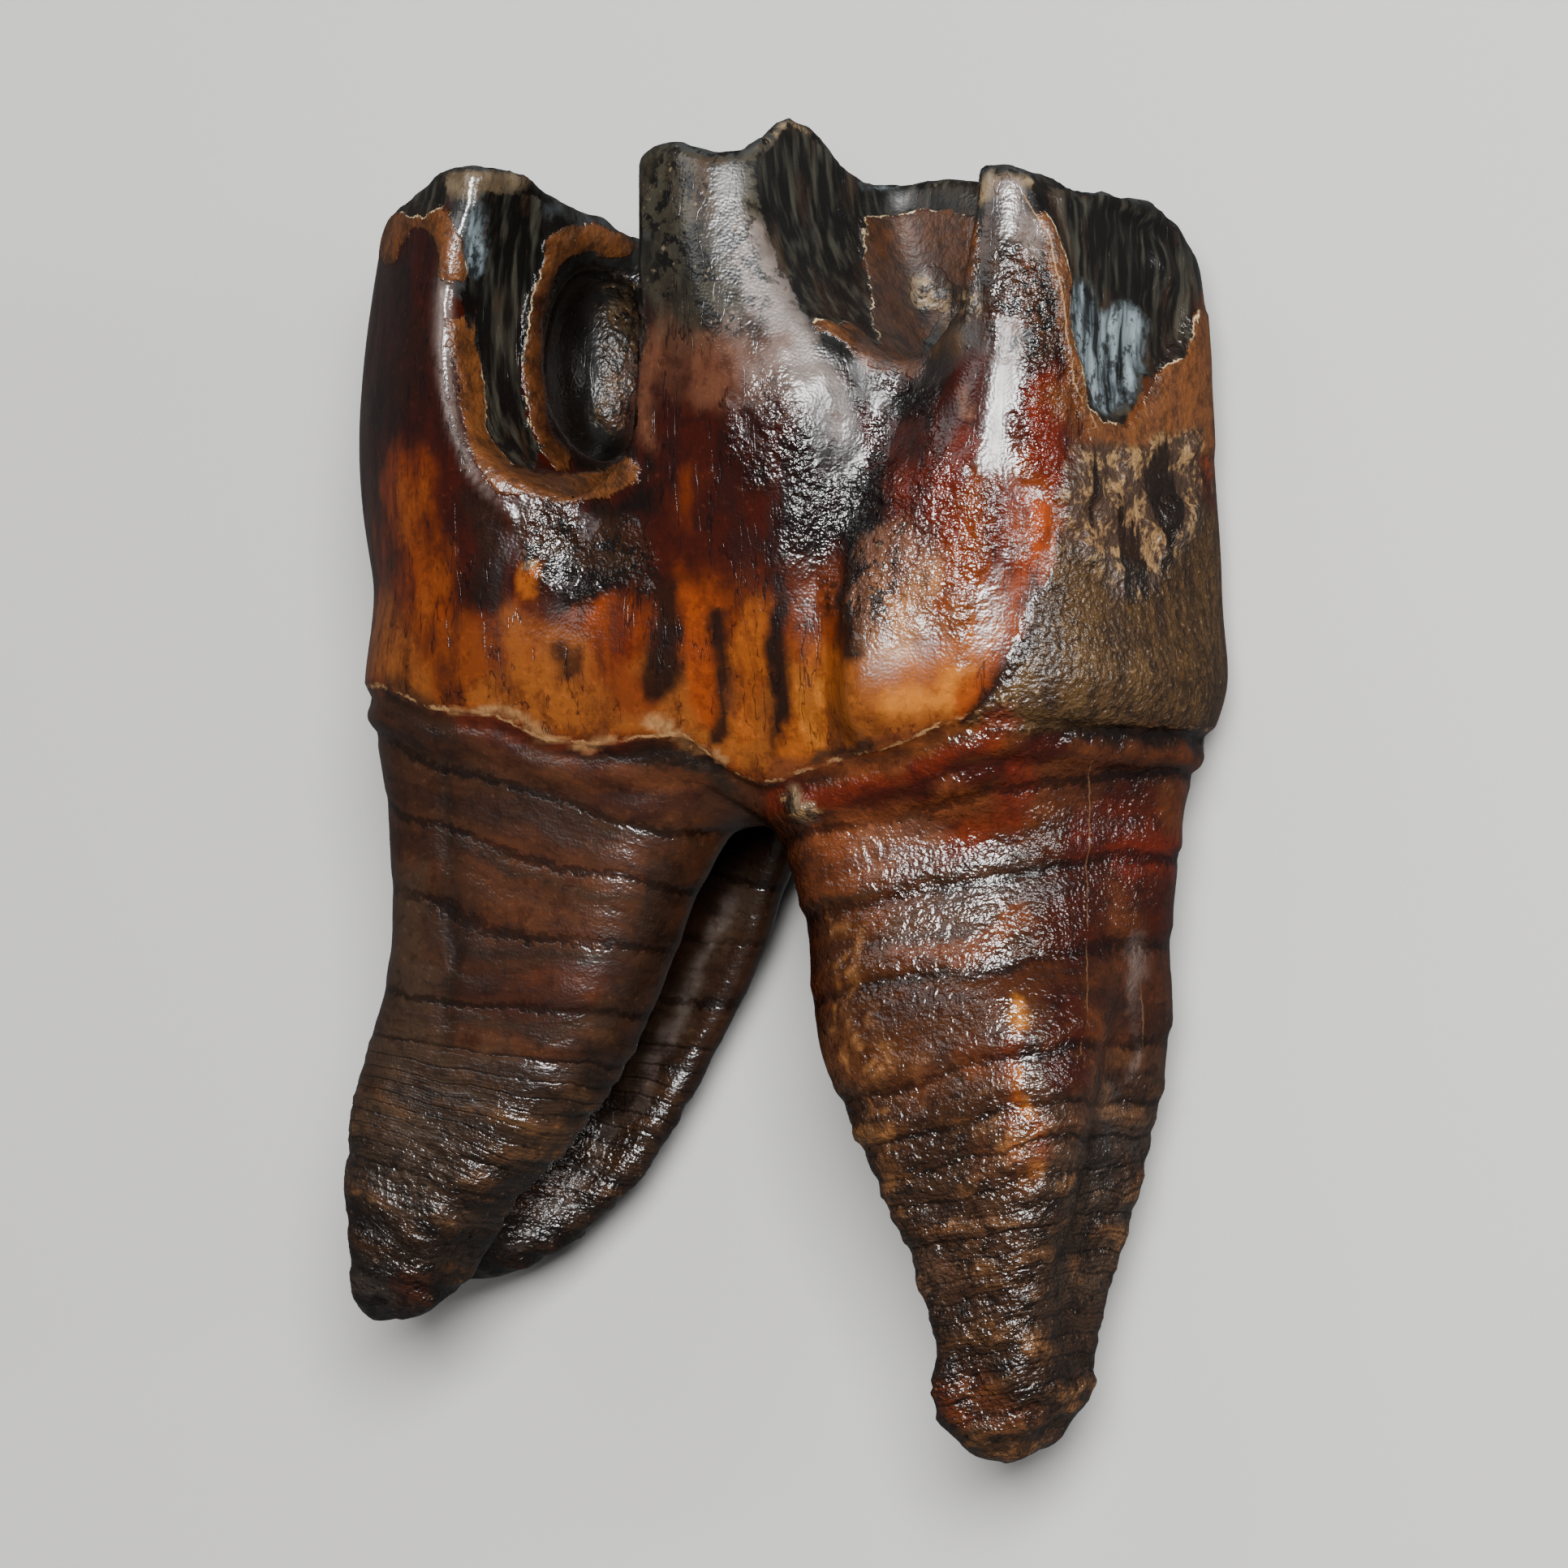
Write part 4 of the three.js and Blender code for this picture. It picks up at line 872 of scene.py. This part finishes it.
# the back root: brown bands between dark growth lines, grey-brown below, a grey-blue tip
stroke(ROOT_BROWN, 6.24, 2.88, 0.8, (-16.6, -4.0), (-16.6, -11.2))
stroke(RED_TAN, 1.15, 1.15, 0.45, (-17.6, -4.0), (-12.8, -5.0), (-9.9, -5.2))
stroke(RED_TAN, 1.15, 1.06, 0.5, (-16.6, -7.9), (-11.8, -8.4))
stroke(RUST, 1.15, 0.96, 0.8, (-15.2, -12.0), (-11.8, -12.0))
stroke(BLOOD, 1.25, 1.06, 0.8, (-17.6, -12.0), (-13.2, -13.2))
stroke(RED_TAN, 0.67, 0.67, 0.5, (-17.6, -15.6), (-13.2, -16.0))
stroke(UMBER, 0.29, 0.29, 0.9, (-23.2, 2.4), (-19.3, 1.0), (-13.6, -1.1), (-9.5, -2.5), (-7.0, -2.7))
stroke(UMBER, 0.29, 0.29, 0.9, (-19.3, -3.1), (-15.6, -5.0), (-11.5, -6.4), (-7.8, -6.9))
stroke(UMBER, 0.29, 0.29, 0.9, (-19.2, -9.3), (-15.2, -10.3), (-9.1, -10.1))
stroke(UMBER, 0.29, 0.29, 0.85, (-19.3, -13.8), (-14.8, -14.4), (-10.3, -14.1))
# painted shade: a dark line along the groove down the back root's tongue face
stroke(DARK_BROWN, 0.43, 0.67, 0.8, (-19.8, 1.7), (-19.9, -3.6), (-19.8, -9.3), (-19.8, -15.6))
stroke(GREY_BROWN, 1.92, 1.63, 0.7, (-22.4, -6.4), (-22.6, -11.2), (-23.3, -16.0))
stroke(GREY_BROWN, 4.32, 2.88, 0.75, (-23.3, -21.8), (-21.4, -25.6), (-18.5, -20.8))
stroke(UMBER, 1.92, 1.73, 0.6, (-18.5, -22.3), (-19.5, -25.6), (-15.6, -19.9))
stroke(SLATE, 1.44, 1.06, 0.8, (-24.3, -29.0), (-24.0, -31.4))
stroke(ORANGE, 0.58, 0.67, 0.6, (-22.6, -29.2), (-21.4, -29.7))
stroke(SHADE_AND_STAIN_BLACK, 0.96, 0.86, 0.8, (-20.9, -30.9), (-19.5, -29.0))
# painted shade: a near-black band down the back root's edge toward the fork, where its surface turns away
# from the light
stroke(SHADE_AND_STAIN_BLACK, 0.96, 2.4, 0.75, (-5.6, -3.3), (-6.8, -7.4), (-8.0, -11.2), (-9.9, -16.0), (-12.8, -20.8),
       (-16.4, -25.6))


def limb_stroke(colour, half_width, soft, strength, *knots):
    """The same on the cheek-side limb of the back root, which is seen past the fork."""
    paint(colour, strength * band(half_width, soft, *knots, on=shown_limb))


# the cheek-side limb seen past it: darkened with painted shade, with a grey and lilac painted
# highlight along it and a few orange spots
limb_stroke(DARK_BROWN, 2.88, 1.44, 0.7, (-2.0, -6.0), (-5.1, -13.2), (-10.8, -22.3), (-17.6, -28.5))
limb_stroke(GREY_BROWN, 0.86, 0.77, 0.95, (-2.6, -6.2), (-5.6, -11.7), (-8.7, -18.0), (-13.7, -24.0),
            (-17.1, -27.1))
limb_stroke(SHEEN_LILAC, 0.45, 0.5, 0.75, (-3.0, -6.6), (-4.6, -9.8), (-6.6, -13.9), (-7.8, -17.5),
            (-10.2, -20.7), (-13.1, -24.3), (-15.9, -27.2))
limb_stroke(CEMENT_DARK, 1.06, 0.96, 0.8, (-12.8, -21.8), (-15.6, -24.7))
limb_stroke(RUST, 0.48, 0.48, 0.8, (-14.0, -23.0), (-15.6, -24.4))
limb_stroke(RUST, 0.43, 0.43, 0.8, (-18.0, -26.4), (-17.1, -26.0))

# on the chewing face slate enamel rings brown dentine, bone-pale where it is dry
paint(SLATE, chewing * ramp(wall_depth, 2.2, 1.0))
paint(GREY_BROWN, 0.8 * chewing * ramp(wall_depth, 1.3, 2.4))
paint(BONE, 0.6 * chewing * ramp(wall_depth, 1.3, 2.4) * ramp(blot, -0.3, 0.5))

# tan veins of root cement wander over the front root's hollow side
veined = band(1.9, 1.6, (2.9, -9.0), (4.5, -13.0), (6.6, -18.0))
paint(CEMENT_DARK, 0.6 * veined)
paint(TAN_VEIN, 0.7 * veined * bell(noise(x, 0.6 * y, z, 2.0, 77, 3), 0.05))

# the crests of the wrinkles are rubbed paler
paint(TAN_VEIN, 0.45 * below * ramp(y, -12, -22) * ramp(crumple, 0.1, 0.9))

# painted shade: the whole back root, which gets less light, is darkened and greyed
paint(DARK_BROWN, 0.38 * on_back_root)
paint(GREY_BROWN, 0.18 * on_back_root)

# the varnish over it all deepens every stain
tint = tint * (0.76, 0.71, 0.66)

# ---- the skin's object ----------------------------------------------------------------------------
# The fossil lies free on its cheek side. Its skin replaces the solids and carries, point by point,
# the stain with its painted shade and highlights, the distances to each outline, and how far it is
# wrinkled, ringed, speckled or dull.

mesh = bpy.data.meshes.new("tooth_skin")
vertices = (points + TO_ROW) / 1000
vertices[:, 2] = np.maximum(vertices[:, 2], 0)
mesh.from_pydata(vertices.tolist(), [], quads.tolist())
mesh.polygons.foreach_set("use_smooth", np.ones(len(quads), bool))
mesh.update()


def add_layer(name, *channels):
    """Stores up to four values for each point as one colour attribute."""
    values = np.zeros((len(points), 4), np.float32)
    for place, channel in enumerate(channels):
        values[:, place] = channel
    layer = mesh.color_attributes.new(name, "FLOAT_COLOR", "POINT")
    layer.data.foreach_set("color", values.ravel())


def edge(inside):
    """Distance inside an outline as a value: a half on the line, 0 and 1 a millimetre out and in."""
    return np.clip(0.5 + np.where(shown > 0.3, inside, -1) / 2, 0, 1)


# wear polished two ridges, and the lacquer wrinkled in the hollows and over the saddle between them
polished = band(1.4, 1.6, (-2.6, 33.5), (-1.5, 31.2), (-0.5, 28.1), (1.2, 25.0), (2.8, 21.8), (3.4, 20.2))
polished = polished + band(0.6, 0.9, (13.4, 26.5), (12.4, 18.5)) + spot(7.0, 6.6, 2.6)
polished = np.clip(polished, 0, 1)
wrinkled = 0.45 * on_front_root + lacquer * (1 - 0.7 * spot(7.0, 6.6, 3.0)) + rough_cusp
wrinkled = wrinkled + 0.8 * pitted + 0.7 * below * tipward + 0.1
saddle = band(1.1, 1.1, (7.4, 23.2), (5.9, 21.2), (4.9, 18.4))
wrinkled = np.maximum(np.clip(wrinkled, 0, 1) * (1 - 0.8 * polished), saddle)

# the valleys' cement is shaded deep inside, and is lost where crumbs fill a hollow of the front wall
shaded = 0.75 * band(4.2, 2.0, (8.2, 33.0), (8.2, 27.0))
shaded = shaded + 0.9 * band(1.5, 2.4, (8.6, 29.0), (10.8, 28.2))
shaded = shaded + 0.5 * band(1.4, 1.0, (-13.0, 31.5), (-14.6, 26.0), (-13.6, 20.0))
shaded = shaded + 0.9 * band(2.4, 1.5, (-12.0, 28.5), (-11.6, 21.5))
add_layer("Tint", *tint.T, np.clip(shaded, 0, 1))
wall_hollow = 1.2 * band(1.1, 1.4, (8.6, 29.2), (11.4, 28.2), (9.4, 26.4)) - 0.6
add_layer("Edges", edge(np.minimum(cement_in, -wall_hollow)), edge(black_in), edge(dentine_in),
          edge(crust_in))

# old enamel is speckled, and so are sediment and the roots' tips
speckled = band(2.6, 2.5, (-6.6, 35.0), (-5.8, 31.5), (-3.4, 29.5)) + crumbs + 0.8 * pitted
speckled = speckled + 0.6 * band(1.4, 1.4, (-1.8, 37.5), (-2.6, 33.5))
speckled = speckled + 0.8 * band(2.4, 3.0, (0.5, 20.0), (3.5, 16.0), (4.8, 12.5))
speckled = speckled + 0.9 * band(1.6, 1.6, (14.2, 30.0), (14.4, 26.8))
speckled = speckled + 0.7 * saddle
speckled = np.clip(speckled + 0.45 * below * tipward + 0.7 * chewing + 0.08, 0, 1)
ringed = below * (0.25 + 0.75 * tipward)
add_layer("Form", wrinkled, ringed, np.clip(0.5 + rise / 4, 0, 1), speckled)

# the grain runs up the enamel and along the roots' growth lines, and worn places have lost their gloss
upright = ramp(rise, -0.2, 0.2)
flow = [upright * x + (1 - upright) * 0.3 * x, upright * 0.3 * y + (1 - upright) * level,
        upright * z + (1 - upright) * 0.3 * z]
worn_dull = 0.15 * on_back_root * (1 - limb) + 0.4 * olive
worn_dull = worn_dull + 0.8 * band(3.6, 1.5, (8.2, 32.5), (8.2, 27.0))
worn_dull = worn_dull + 0.5 * band(1.8, 1.6, (-1.6, 37.5), (-2.6, 33.5))
worn_dull = worn_dull + 0.5 * band(1.3, 1.0, (-10.4, 28.5), (-10.4, 21.5))
worn_dull = np.clip(worn_dull + 0.7 * band(1.3, 1.4, (4.8, 24.2), (6.4, 22.0)), 0, 1)
gloss = 0.5 + 0.5 * worn_dull - 0.5 * polished * (1 - saddle)
add_layer("Grain", *[axis / 1000 for axis in flow], gloss)

# three cracks run up the front ridge and the front root
sandy = np.clip(olive + crumbs, 0, 1)
cracks = [
    beside((14.2, 35.0), (15.6, 32.0), (16.4, 28.1), (17.0, 23.8), (18.2, 21.0)),
    beside((18.0, 1.6), (17.9, -6.4), (17.7, -16.0)),
    beside((21.1, -8.8), (21.2, -15.6)),
]
nearest = np.argmin(np.abs(cracks), 0)[None]
crack = np.take_along_axis(np.array(cracks), nearest, 0)[0]
crack_near = shown * ramp(np.abs(crack), 0.95, 0.7) * np.where(up > 10, 1, 0.25)
add_layer("Finish", sandy, np.clip(0.5 + crack / 2, 0, 1), crack_near, root_phase / 20)

skin = bpy.data.objects.new("tooth_skin", mesh)
bpy.context.scene.collection.objects.link(skin)
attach(skin, "root")
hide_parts("crown", "root_front", "root_back", "cement_front_valley", "cement_back_valley")

# ---- the lacquered surface ------------------------------------------------------------------------
# Fossil enamel, dentine and cement, stained through by the ground and brushed with clear lacquer,
# which wrinkled as it dried. It looks wet, but dull on crusts, sandy cement and the lower roots.


def new_material(name):
    material = bpy.data.materials.new(name)
    material.use_nodes = True
    material.node_tree.nodes.clear()
    return material


def node(kind, *values, output=0, **settings):
    """Adds a node and gives one of its outputs. Values fill its open inputs in order. A setting is
    one of its properties or, with underscores for spaces, the name of an input."""
    made = tree.nodes.new("ShaderNode" + kind)
    named = []
    for name, value in settings.items():
        if hasattr(made, name):
            setattr(made, name, value)
        else:
            named.append((made.inputs[name.replace("_", " ")], value))
    positional = zip([socket for socket in made.inputs if socket.enabled], values)
    for socket, value in [*positional, *named]:
        if isinstance(value, bpy.types.NodeSocket):
            tree.links.new(value, socket)
        else:
            socket.default_value = (*value, 1) if socket.type == "RGBA" else value
    outputs = [socket for socket in made.outputs if socket.enabled]
    return outputs[output] if outputs else None


def per_mm(size):
    """Noise scale for lumps of a size in millimetres, on coordinates in metres."""
    return 1000 / size


CREAM = linear("#cdb68c")

SMOOTH = {"interpolation_type": "SMOOTHSTEP"}
COLOURS = {"data_type": "RGBA"}

lacquered = new_material("lacquered_fossil_tooth")
tree = lacquered.node_tree
place = node("TexCoord", output=3)
tint_in = node("VertexColor", layer_name="Tint")
shade_in = node("VertexColor", layer_name="Tint", output=1)
edges = node("VertexColor", layer_name="Edges")
cement_edge, black_edge, dentine_edge = [node("SeparateColor", edges, output=i) for i in range(3)]
crust_edge = node("VertexColor", layer_name="Edges", output=1)
form = node("VertexColor", layer_name="Form")
wrinkled_in, ringed_in, rise_in = [node("SeparateColor", form, output=i) for i in range(3)]
speckled_in = node("VertexColor", layer_name="Form", output=1)
grown = node("VertexColor", layer_name="Grain")
polish = node("VertexColor", layer_name="Grain", output=1)
finish = node("VertexColor", layer_name="Finish")
sandy_in, crack_in, crack_near = [node("SeparateColor", finish, output=i) for i in range(3)]
phase_in = node("VertexColor", layer_name="Finish", output=1)

broad = node("TexNoise", grown, per_mm(2.2), 5, 0.64)
gritty = node("TexNoise", place, per_mm(1.0), 4, 0.68)
small = node("TexNoise", place, per_mm(0.42), 2)
upright_grain = node("Mapping", place, Scale=(1, 0.14, 1))
streaks = node("TexNoise", upright_grain, per_mm(0.7), 2)
hairs = node("TexNoise", upright_grain, per_mm(1.3), 3, 0.6)
ragged = node("Math", gritty, 0.45, -0.225, operation="MULTIPLY_ADD")
ragged_fine = node("Math", small, 0.25, -0.125, operation="MULTIPLY_ADD")


def inside(edge, width=0.05):
    """One inside an outline and nothing outside it, the outline made ragged."""
    torn = node("Math", node("Math", edge, ragged, operation="ADD"), ragged_fine, operation="ADD")
    return node("MapRange", torn, 0.5 - width, 0.5 + width, **SMOOTH)


def on_line(edge, width, waver):
    """One on an outline and nothing a width away from it."""
    off = node("Math", node("Math", edge, waver, operation="ADD"), 0.5, operation="SUBTRACT")
    return node("MapRange", node("Math", off, operation="ABSOLUTE"), width, 0.3 * width, **SMOOTH)


def times(*factors):
    """The product of masks."""
    product = factors[0]
    for factor in factors[1:]:
        product = node("Math", product, factor, operation="MULTIPLY")
    return product


def shaded_by(colour, factor, shade):
    """A colour multiplied by a shade, as far as a factor says."""
    return node("Mix", factor, colour, shade, blend_type="MULTIPLY", **COLOURS)


def growth_line(per_ring, width):
    """One on each whole count of the rings and nothing a share of the gap away."""
    torn = node("Math", phase_in, 20.0, ragged_fine, operation="MULTIPLY_ADD")
    part = node("Math", node("Math", torn, per_ring, 0.5, operation="MULTIPLY_ADD"), operation="FRACT")
    return on_line(part, width, 0.0)


# the stain is mottled, less so where the tooth was polished by wear
polished = node("MapRange", polish, 0.5, 0.0, **SMOOTH)
uneven = node("Math", polished, -0.75, 1.0, operation="MULTIPLY_ADD")
colour = shaded_by(tint_in, times(uneven, node("MapRange", broad, 0.44, 0.62, 0.0, 0.7, **SMOOTH)),
                   (0.36, 0.27, 0.22))
colour = shaded_by(colour, times(uneven, node("MapRange", broad, 0.40, 0.28, 0.0, 0.7, **SMOOTH)),
                   (1.45, 1.3, 1.15))
colour = shaded_by(colour, node("MapRange", small, 0.5, 0.75, 0.0, 0.5, **SMOOTH), (1.6, 1.5, 1.35))
colour = shaded_by(colour, times(uneven, node("MapRange", gritty, 0.5, 0.66, 0.0, 0.55, **SMOOTH)),
                   (0.5, 0.38, 0.3))
colour = node("Mix", times(speckled_in, node("MapRange", gritty, 0.50, 0.58, **SMOOTH)), colour, SHADE_AND_STAIN_BLACK,
              **COLOURS)
colour = node("Mix", times(speckled_in, node("MapRange", small, 0.66, 0.74, 0.0, 0.3, **SMOOTH)),
              colour, BONE, **COLOURS)

# hair cracks run up the enamel, dark with dirt
above_in = node("MapRange", rise_in, 0.52, 0.6, **SMOOTH)
hair_lines = times(on_line(hairs, 0.014, 0.0), above_in, uneven,
                   node("MapRange", broad, 0.44, 0.52, **SMOOTH))
colour = shaded_by(colour, times(hair_lines, 0.75), (0.2, 0.12, 0.1))

# growth lines cross the roots, crisp and broken, with finer ones between them
below_in = node("MapRange", rise_in, 0.47, 0.42, **SMOOTH)
main_lines = times(growth_line(1.0, 0.10), node("MapRange", broad, 0.3, 0.5, 0.35, 1.0, **SMOOTH))
thin_lines = times(growth_line(4.0, 0.2), ringed_in, 0.6)
root_lines = times(node("Math", main_lines, thin_lines, operation="MAXIMUM"), below_in)
colour = shaded_by(colour, times(root_lines, 0.8), (0.25, 0.2, 0.17))

# cement fills the valleys and wraps the front, and ends in a ragged edge
cement_mask = inside(cement_edge)
cement = node("Mix", node("MapRange", gritty, 0.38, 0.66, **SMOOTH), CEMENT, CEMENT_DARK, **COLOURS)
# painted shade: the cement is darkened as far as the Tint layer's fourth value marks it deep in a valley
cement = shaded_by(cement, shade_in, (0.2, 0.16, 0.13))
cement_share = times(cement_mask, node("MapRange", broad, 0.3, 0.7, 0.95, 0.6, **SMOOTH))
colour = node("Mix", cement_share, colour, cement, **COLOURS)

# the valleys' walls are black enamel, streaked upward, over grey-blue dentine where they are worn
black_mask = inside(black_edge)
black = node("Mix", node("MapRange", streaks, 0.45, 0.75, 0.0, 0.8, **SMOOTH), SHADE_AND_STAIN_BLACK, ASH, **COLOURS)
black = node("Mix", node("MapRange", broad, 0.54, 0.64, 0.0, 0.5, **SMOOTH), black, UMBER, **COLOURS)
colour = node("Mix", times(black_mask, 0.95), colour, black, **COLOURS)
dentine = node("Mix", node("MapRange", streaks, 0.3, 0.68, **SMOOTH), linear("#737f84"),
               linear("#15191b"), **COLOURS)
dentine = node("Mix", node("MapRange", gritty, 0.5, 0.6, 0.0, 0.8, **SMOOTH), dentine, SHADE_AND_STAIN_BLACK, **COLOURS)
colour = node("Mix", inside(dentine_edge, 0.2), colour, dentine, **COLOURS)
cream_line = times(on_line(black_edge, 0.03, ragged), cement_mask,
                   node("MapRange", broad, 0.42, 0.55, 0.0, 0.75, **SMOOTH))
colour = node("Mix", cream_line, colour, CREAM, **COLOURS)

# dry sediment clings below the worn contact in flakes
crust_mask = inside(crust_edge, 0.22)
flakes = node("Math", node("TexNoise", place, per_mm(1.5), 4, 0.7), ragged_fine, operation="ADD")
crust = node("Mix", node("MapRange", flakes, 0.49, 0.60, **SMOOTH), linear("#35251a"),
             linear("#7b5e3a"), **COLOURS)
crust = node("Mix", node("MapRange", broad, 0.50, 0.42, **SMOOTH), crust, linear("#110b07"), **COLOURS)
crust = node("Mix", node("MapRange", small, 0.55, 0.7, 0.0, 0.75, **SMOOTH), crust, linear("#1d130a"),
             **COLOURS)
colour = node("Mix", times(crust_mask, 0.95), colour, crust, **COLOURS)

# the front's cement is sandy: pale and dark grains in olive
for grains, start, end, share, grain_colour in (
    (small, 0.55, 0.72, 0.35, linear("#5f4a2b")),
    (small, 0.70, 0.76, 0.5, BONE),
    (gritty, 0.5, 0.64, 0.5, linear("#1f1409")),
):
    sand = times(sandy_in, node("MapRange", grains, start, end, 0.0, share, **SMOOTH))
    colour = node("Mix", sand, colour, grain_colour, **COLOURS)

# a thin crust follows the enamel's lower edge, and pale lines mark two cracks
bare = node("Math", 1.0, sandy_in, operation="SUBTRACT")
sill = times(on_line(rise_in, 0.045, times(ragged_fine, 0.5)), bare,
             node("MapRange", gritty, 0.45, 0.6, **SMOOTH))
sill = times(sill, node("MapRange", broad, 0.36, 0.5, 0.2, 0.8, **SMOOTH))
colour = node("Mix", sill, colour, CRUST_LINE, **COLOURS)
crack_line = times(on_line(crack_in, 0.03, times(ragged_fine, 0.3)), crack_near,
                   node("MapRange", broad, 0.42, 0.55, **SMOOTH))
colour = node("Mix", times(crack_line, 0.75), colour, CRUST_LINE, **COLOURS)

# the lacquer's gloss: uneven, lost on cement and crusts and on the worn lower roots
dull = node("Math", crust_mask, times(cement_mask, 0.7), operation="MAXIMUM")
rough = node("MapRange", broad, 0.3, 0.75, 0.15, 0.31, **SMOOTH)
rough = node("Math", dull, 0.16, rough, operation="MULTIPLY_ADD")
rough = node("Math", node("MapRange", polish, 0.5, 1.0, **SMOOTH), 0.34, rough, operation="MULTIPLY_ADD")
rough = node("Math", polished, 0.10, rough, operation="MULTIPLY_ADD")
rough = node("Math", ringed_in, 0.03, rough, operation="MULTIPLY_ADD")

# its wrinkles are sharp creases between soft swellings: one less a noise's distance from its middle
swelling = node("TexNoise", place, per_mm(1.1), 3, 0.6)
off_middle = node("Math", node("Math", swelling, 0.5, operation="SUBTRACT"), operation="ABSOLUTE")
wrinkles = node("Math", off_middle, -4.0, 1.0, operation="MULTIPLY_ADD")
height = times(wrinkles, wrinkled_in, 0.7)
across_rings = node("TexNoise", grown, per_mm(0.55), 3, 0.6)
height = node("Math", across_rings, times(ringed_in, 0.9), height, operation="MULTIPLY_ADD")
height = node("Math", node("TexNoise", place, per_mm(0.16), 0), 0.06, height, operation="MULTIPLY_ADD")
gritted = node("Math", dull, 0.9, times(sandy_in, 1.3), operation="MULTIPLY_ADD")
height = node("Math", small, gritted, height, operation="MULTIPLY_ADD")
height = node("Math", root_lines, -0.09, height, operation="MULTIPLY_ADD")
height = node("Math", hair_lines, -0.03, height, operation="MULTIPLY_ADD")
bump = node("Bump", Strength=1.0, Distance=0.00022, Height=height)
shader = node("BsdfPrincipled", Base_Color=colour, Roughness=rough, Normal=bump, IOR=1.6)
node("OutputMaterial", Surface=shader)
mesh.materials.append(lacquered)

# ---- the floor ------------------------------------------------------------------------------------
# A studio table under a plain pale sheet, matt, with no mirror image of it in the lacquer.

floor_mesh = bpy.data.meshes.new("floor")
floor_mesh.from_pydata([(-2, -2, 0), (2, -2, 0), (2, 2, 0), (-2, 2, 0)], [], [(0, 1, 2, 3)])
floor = bpy.data.objects.new("floor", floor_mesh)
bpy.context.scene.collection.objects.link(floor)
pale = new_material("pale_floor")
tree = pale.node_tree
node("OutputMaterial", Surface=node("BsdfPrincipled", Base_Color=linear("#afaeac"), Roughness=0.9))
floor_mesh.materials.append(pale)
floor.visible_glossy = False

# ---- the studio light -----------------------------------------------------------------------------
# One softbox stands close to the camera, so that each face turned to it shines. A narrow one from
# the tooth's front edges the form and a weak one fills the shadows.

target = Vector(TO_ROW / 1000)
world = bpy.data.worlds.new("studio")
world.use_nodes = True
world.node_tree.nodes["Background"].inputs["Color"].default_value = (1, 1, 1, 1)
world.node_tree.nodes["Background"].inputs["Strength"].default_value = 0.10
bpy.context.scene.world = world


def softbox(name, place, size, power):
    """A rectangular light aimed at the tooth, placed in metres from it."""
    light = bpy.data.lights.new(name, "AREA")
    light.shape = "RECTANGLE"
    light.size, light.size_y = size
    light.energy = power
    lamp = bpy.data.objects.new(name, light)
    lamp.location = target + Vector(place)
    lamp.rotation_euler = (target - lamp.location).to_track_quat("-Z", "Y").to_euler()
    bpy.context.scene.collection.objects.link(lamp)


softbox("key", (0.24, 0.13, 0.55), (0.18, 0.26), 10.5)
softbox("side", (0.50, 0.08, 0.16), (0.05, 0.24), 1.3)
softbox("fill", (-0.30, 0.40, 0.60), (0.40, 0.40), 1.0)

# ---- the camera -----------------------------------------------------------------------------------
# It looks down on the tongue side from 0.4 m, turned 25 degrees toward the tooth's front.

camera_data = bpy.data.cameras.new("camera")
camera_data.sensor_width = 36
camera_data.lens = 36 * VIEW_DISTANCE / 92.736
camera = bpy.data.objects.new("camera", camera_data)
camera.location = target + Vector(toward) * VIEW_DISTANCE / 1000
camera.rotation_euler = (0, VIEW_TURN, 0)
bpy.context.scene.collection.objects.link(camera)
bpy.context.scene.camera = camera
